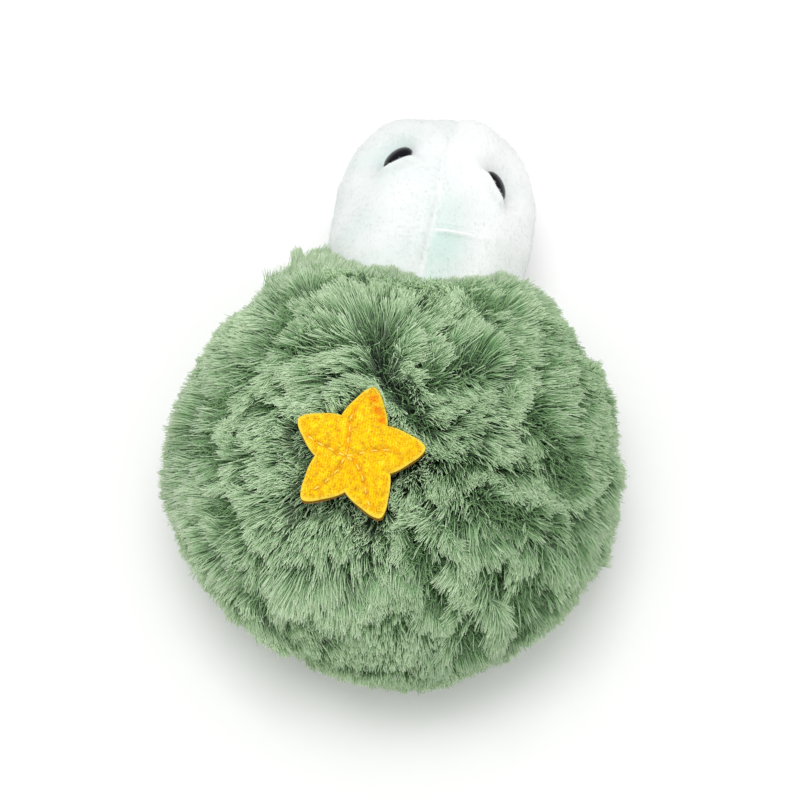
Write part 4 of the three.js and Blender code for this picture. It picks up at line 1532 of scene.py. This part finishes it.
def offStar(paths, underStar, rng):
    # fibres stay outside the star, but for those pressed under it
    x, y = paths[..., 0], paths[..., 1]
    lx, ly = starLocal(x, y)
    edge = starRadiusAt(np.arctan2(ly, lx)) + rng.uniform(0.1, 0.45, (len(paths), 1))
    distance = np.hypot(lx, ly)
    seat = pileHeight(x, y) - star["sink"]
    push = np.where((distance < edge) & (paths[..., 2] > seat - 0.8) & ~underStar[:, None],
                    edge / np.maximum(distance, 1e-6), 1.0)
    paths[..., 0], paths[..., 1] = starWorld(lx * push, ly * push)


def growFur():
    rng = np.random.default_rng(fur["seed"])
    roots, normals, underStar = plantRoots(rng)
    count, locks = len(roots), fur["locks"]
    centre, tuftHeading, tuftLean, tuftLength = makeTufts(roots, normals, rng)
    wander = np.stack([smoothNoise(roots, 21 + i, 7.0) for i in range(3)], -1)
    tuft = nearest(roots + wander * 0.9 + rng.normal(scale=0.45, size=roots.shape), centre)
    lockSeeds = rng.choice(count, locks, replace=False)
    lock = nearest(roots + rng.normal(scale=0.12, size=roots.shape), roots[lockSeeds])

    heading, lean, short = combTufts(roots, normals, roots - centre[tuft], tuftHeading[tuft], tuftLean[tuft],
                                     lock, rng)
    heading, lean, byStar = turnAside(roots, normals, heading, lean, short)
    length = fur["length"] * tuftLength[tuft] * rng.normal(1.0, 0.03, locks)[lock]
    length = length * rng.uniform(0.9, 1.03, count)
    length = np.where(short, fur["length"] * rng.uniform(*fur["shortLength"], count), length)
    length = length * (1 - fur["starShort"] * byStar)
    length = np.where(underStar, fur["pressed"], length)
    lean = np.where(underStar, math.radians(fur["pressedLean"]), lean)

    # the fibre leaves the backing upright and bends over
    steps = 4
    t = np.linspace(0, 1, steps)
    rise = (length * np.cos(lean) * 0.97)[:, None] * (1 - (1 - t) ** 1.7)[None]
    reach = (length * np.sin(lean) * 0.95)[:, None] * (t ** 1.45)[None]
    paths = roots[:, None] + normals[:, None] * rise[..., None] + heading[:, None] * reach[..., None]
    bow = fur["curl"] * rng.normal(size=count) + fur["curl"] * rng.normal(size=locks)[lock]
    paths = paths + np.cross(normals, heading)[:, None] * (bow[:, None] * t ** 2)[..., None]
    drawn = np.where(short, 0.0, 1 - 0.85 * byStar)
    paths = gather(paths, tuft, drawn, fur["tuftDraw"])
    paths = gather(paths, lock, drawn, fur["lockDraw"])
    paths = paths + rng.normal(scale=0.15, size=(count, 1, 3)) * (t ** 1.5)[None, :, None]
    paths[:, 1:] += rng.normal(scale=0.05, size=(count, steps - 1, 3))

    # nothing passes into the star, the head or the surface below
    offStar(paths, underStar, rng)
    ragged = np.abs(rng.normal(scale=fur["ragged"], size=locks))[lock]
    ragged = ragged + np.abs(rng.normal(scale=fur["ragged"], size=count))
    paths = offHead(paths, ragged)
    paths[..., 2] = np.maximum(paths[..., 2], neckPile["low"])

    widths = fur["width"] * np.array([1.0, 1.0, 0.95, 0.7])[None] * rng.uniform(0.75, 1.25, (count, 1))
    # painted shade: a little darker toward the toy's right
    tones = 0.5 - 0.26 * np.clip(roots[:, 0] / 22, -0.12, 1)
    tones = tones + rng.normal(scale=fur["tuftTone"], size=len(centre))[tuft]
    tones = tones + rng.normal(scale=fur["lockTone"], size=locks)[lock]
    tones = np.clip(tones + rng.normal(scale=fur["fibreTone"], size=count), 0, 1)

    # meshes by place round the shell, so that each is one patch of pile
    order = np.argsort(np.arctan2(roots[:, 1], roots[:, 0]))
    long, low = order[~short[order]], order[short[order]]
    for name, chosen, material in (("shell_pile", long, greenPile), ("shell_underpile", low, shadedUnderPile)):
        pilePieces(name, chosen, fur["piece"], paths, widths, tones, material)
    print("long pile made:", len(long), "fibres,", len(low), "short ones,", len(centre), "tufts")


growFur()
growCollar()


# stage
def makeStage():
    mesh = bpy.data.meshes.new("floor")
    size = 3.0
    corners = [(-size, -size, 0), (size, -size, 0), (size, size, 0), (-size, size, 0)]
    mesh.from_pydata(corners, [], [(0, 1, 2, 3)])
    floor = bpy.data.objects.new("floor", mesh)
    bpy.context.scene.collection.objects.link(floor)
    material, tree, shader = newMaterial("paleFloor", {"Roughness": 1.0, "Specular IOR Level": 0.0})
    # white to the eye and in reflections, a little grey where it lights the toy
    path = addNode(tree, "ShaderNodeLightPath")
    seen = path.outputs["Is Camera Ray"]
    for ray in ("Is Glossy Ray", "Is Transmission Ray"):
        both = addNode(tree, "ShaderNodeMath", {"operation": "MAXIMUM"}, {0: seen, 1: path.outputs[ray]})
        seen = both.outputs[0]
    colour = addNode(tree, "ShaderNodeMix", {"data_type": "RGBA", 6: (0.8, 0.8, 0.8, 1), 7: (1, 1, 1, 1)},
                     {0: seen})
    tree.links.new(colour.outputs[2], shader.inputs["Base Color"])
    mesh.materials.append(material)

    world = bpy.data.worlds.new("studio")
    bpy.context.scene.world = world
    world.use_nodes = True
    world.node_tree.nodes["Background"].inputs["Color"].default_value = (1, 1, 1, 1)
    world.node_tree.nodes["Background"].inputs["Strength"].default_value = 0.8


lamps = [
    # name, place in mm, size in mm, power in W, aimed at
    ("key", (-20, 20, 460), 200, 0.74, (0, 10, 25)),
]


def makeLamps():
    for name, place, size, power, target in lamps:
        light = bpy.data.lights.new(name, "AREA")
        light.shape = "SQUARE"
        light.size = size * mm
        light.energy = power
        lamp = bpy.data.objects.new(name, light)
        lamp.location = Vector(place) * mm
        lamp.rotation_euler = (Vector(place) - Vector(target)).to_track_quat("Z", "Y").to_euler()
        bpy.context.scene.collection.objects.link(lamp)


def makeCamera():
    back = Vector(viewAxes()[2])
    data = bpy.data.cameras.new("camera")
    data.lens = view["lens"]
    data.sensor_width = view["sensor"]
    camera = bpy.data.objects.new("camera", data)
    camera.location = (Vector(view["aim"]) + back * view["distance"]) * mm
    camera.rotation_euler = back.to_track_quat("Z", "Y").to_euler()
    bpy.context.scene.collection.objects.link(camera)
    bpy.context.scene.camera = camera
    data.clip_start = 0.01


makeStage()
makeLamps()
makeCamera()
bpy.context.scene.view_settings.view_transform = "Standard"
print("stage, lamps and camera made")
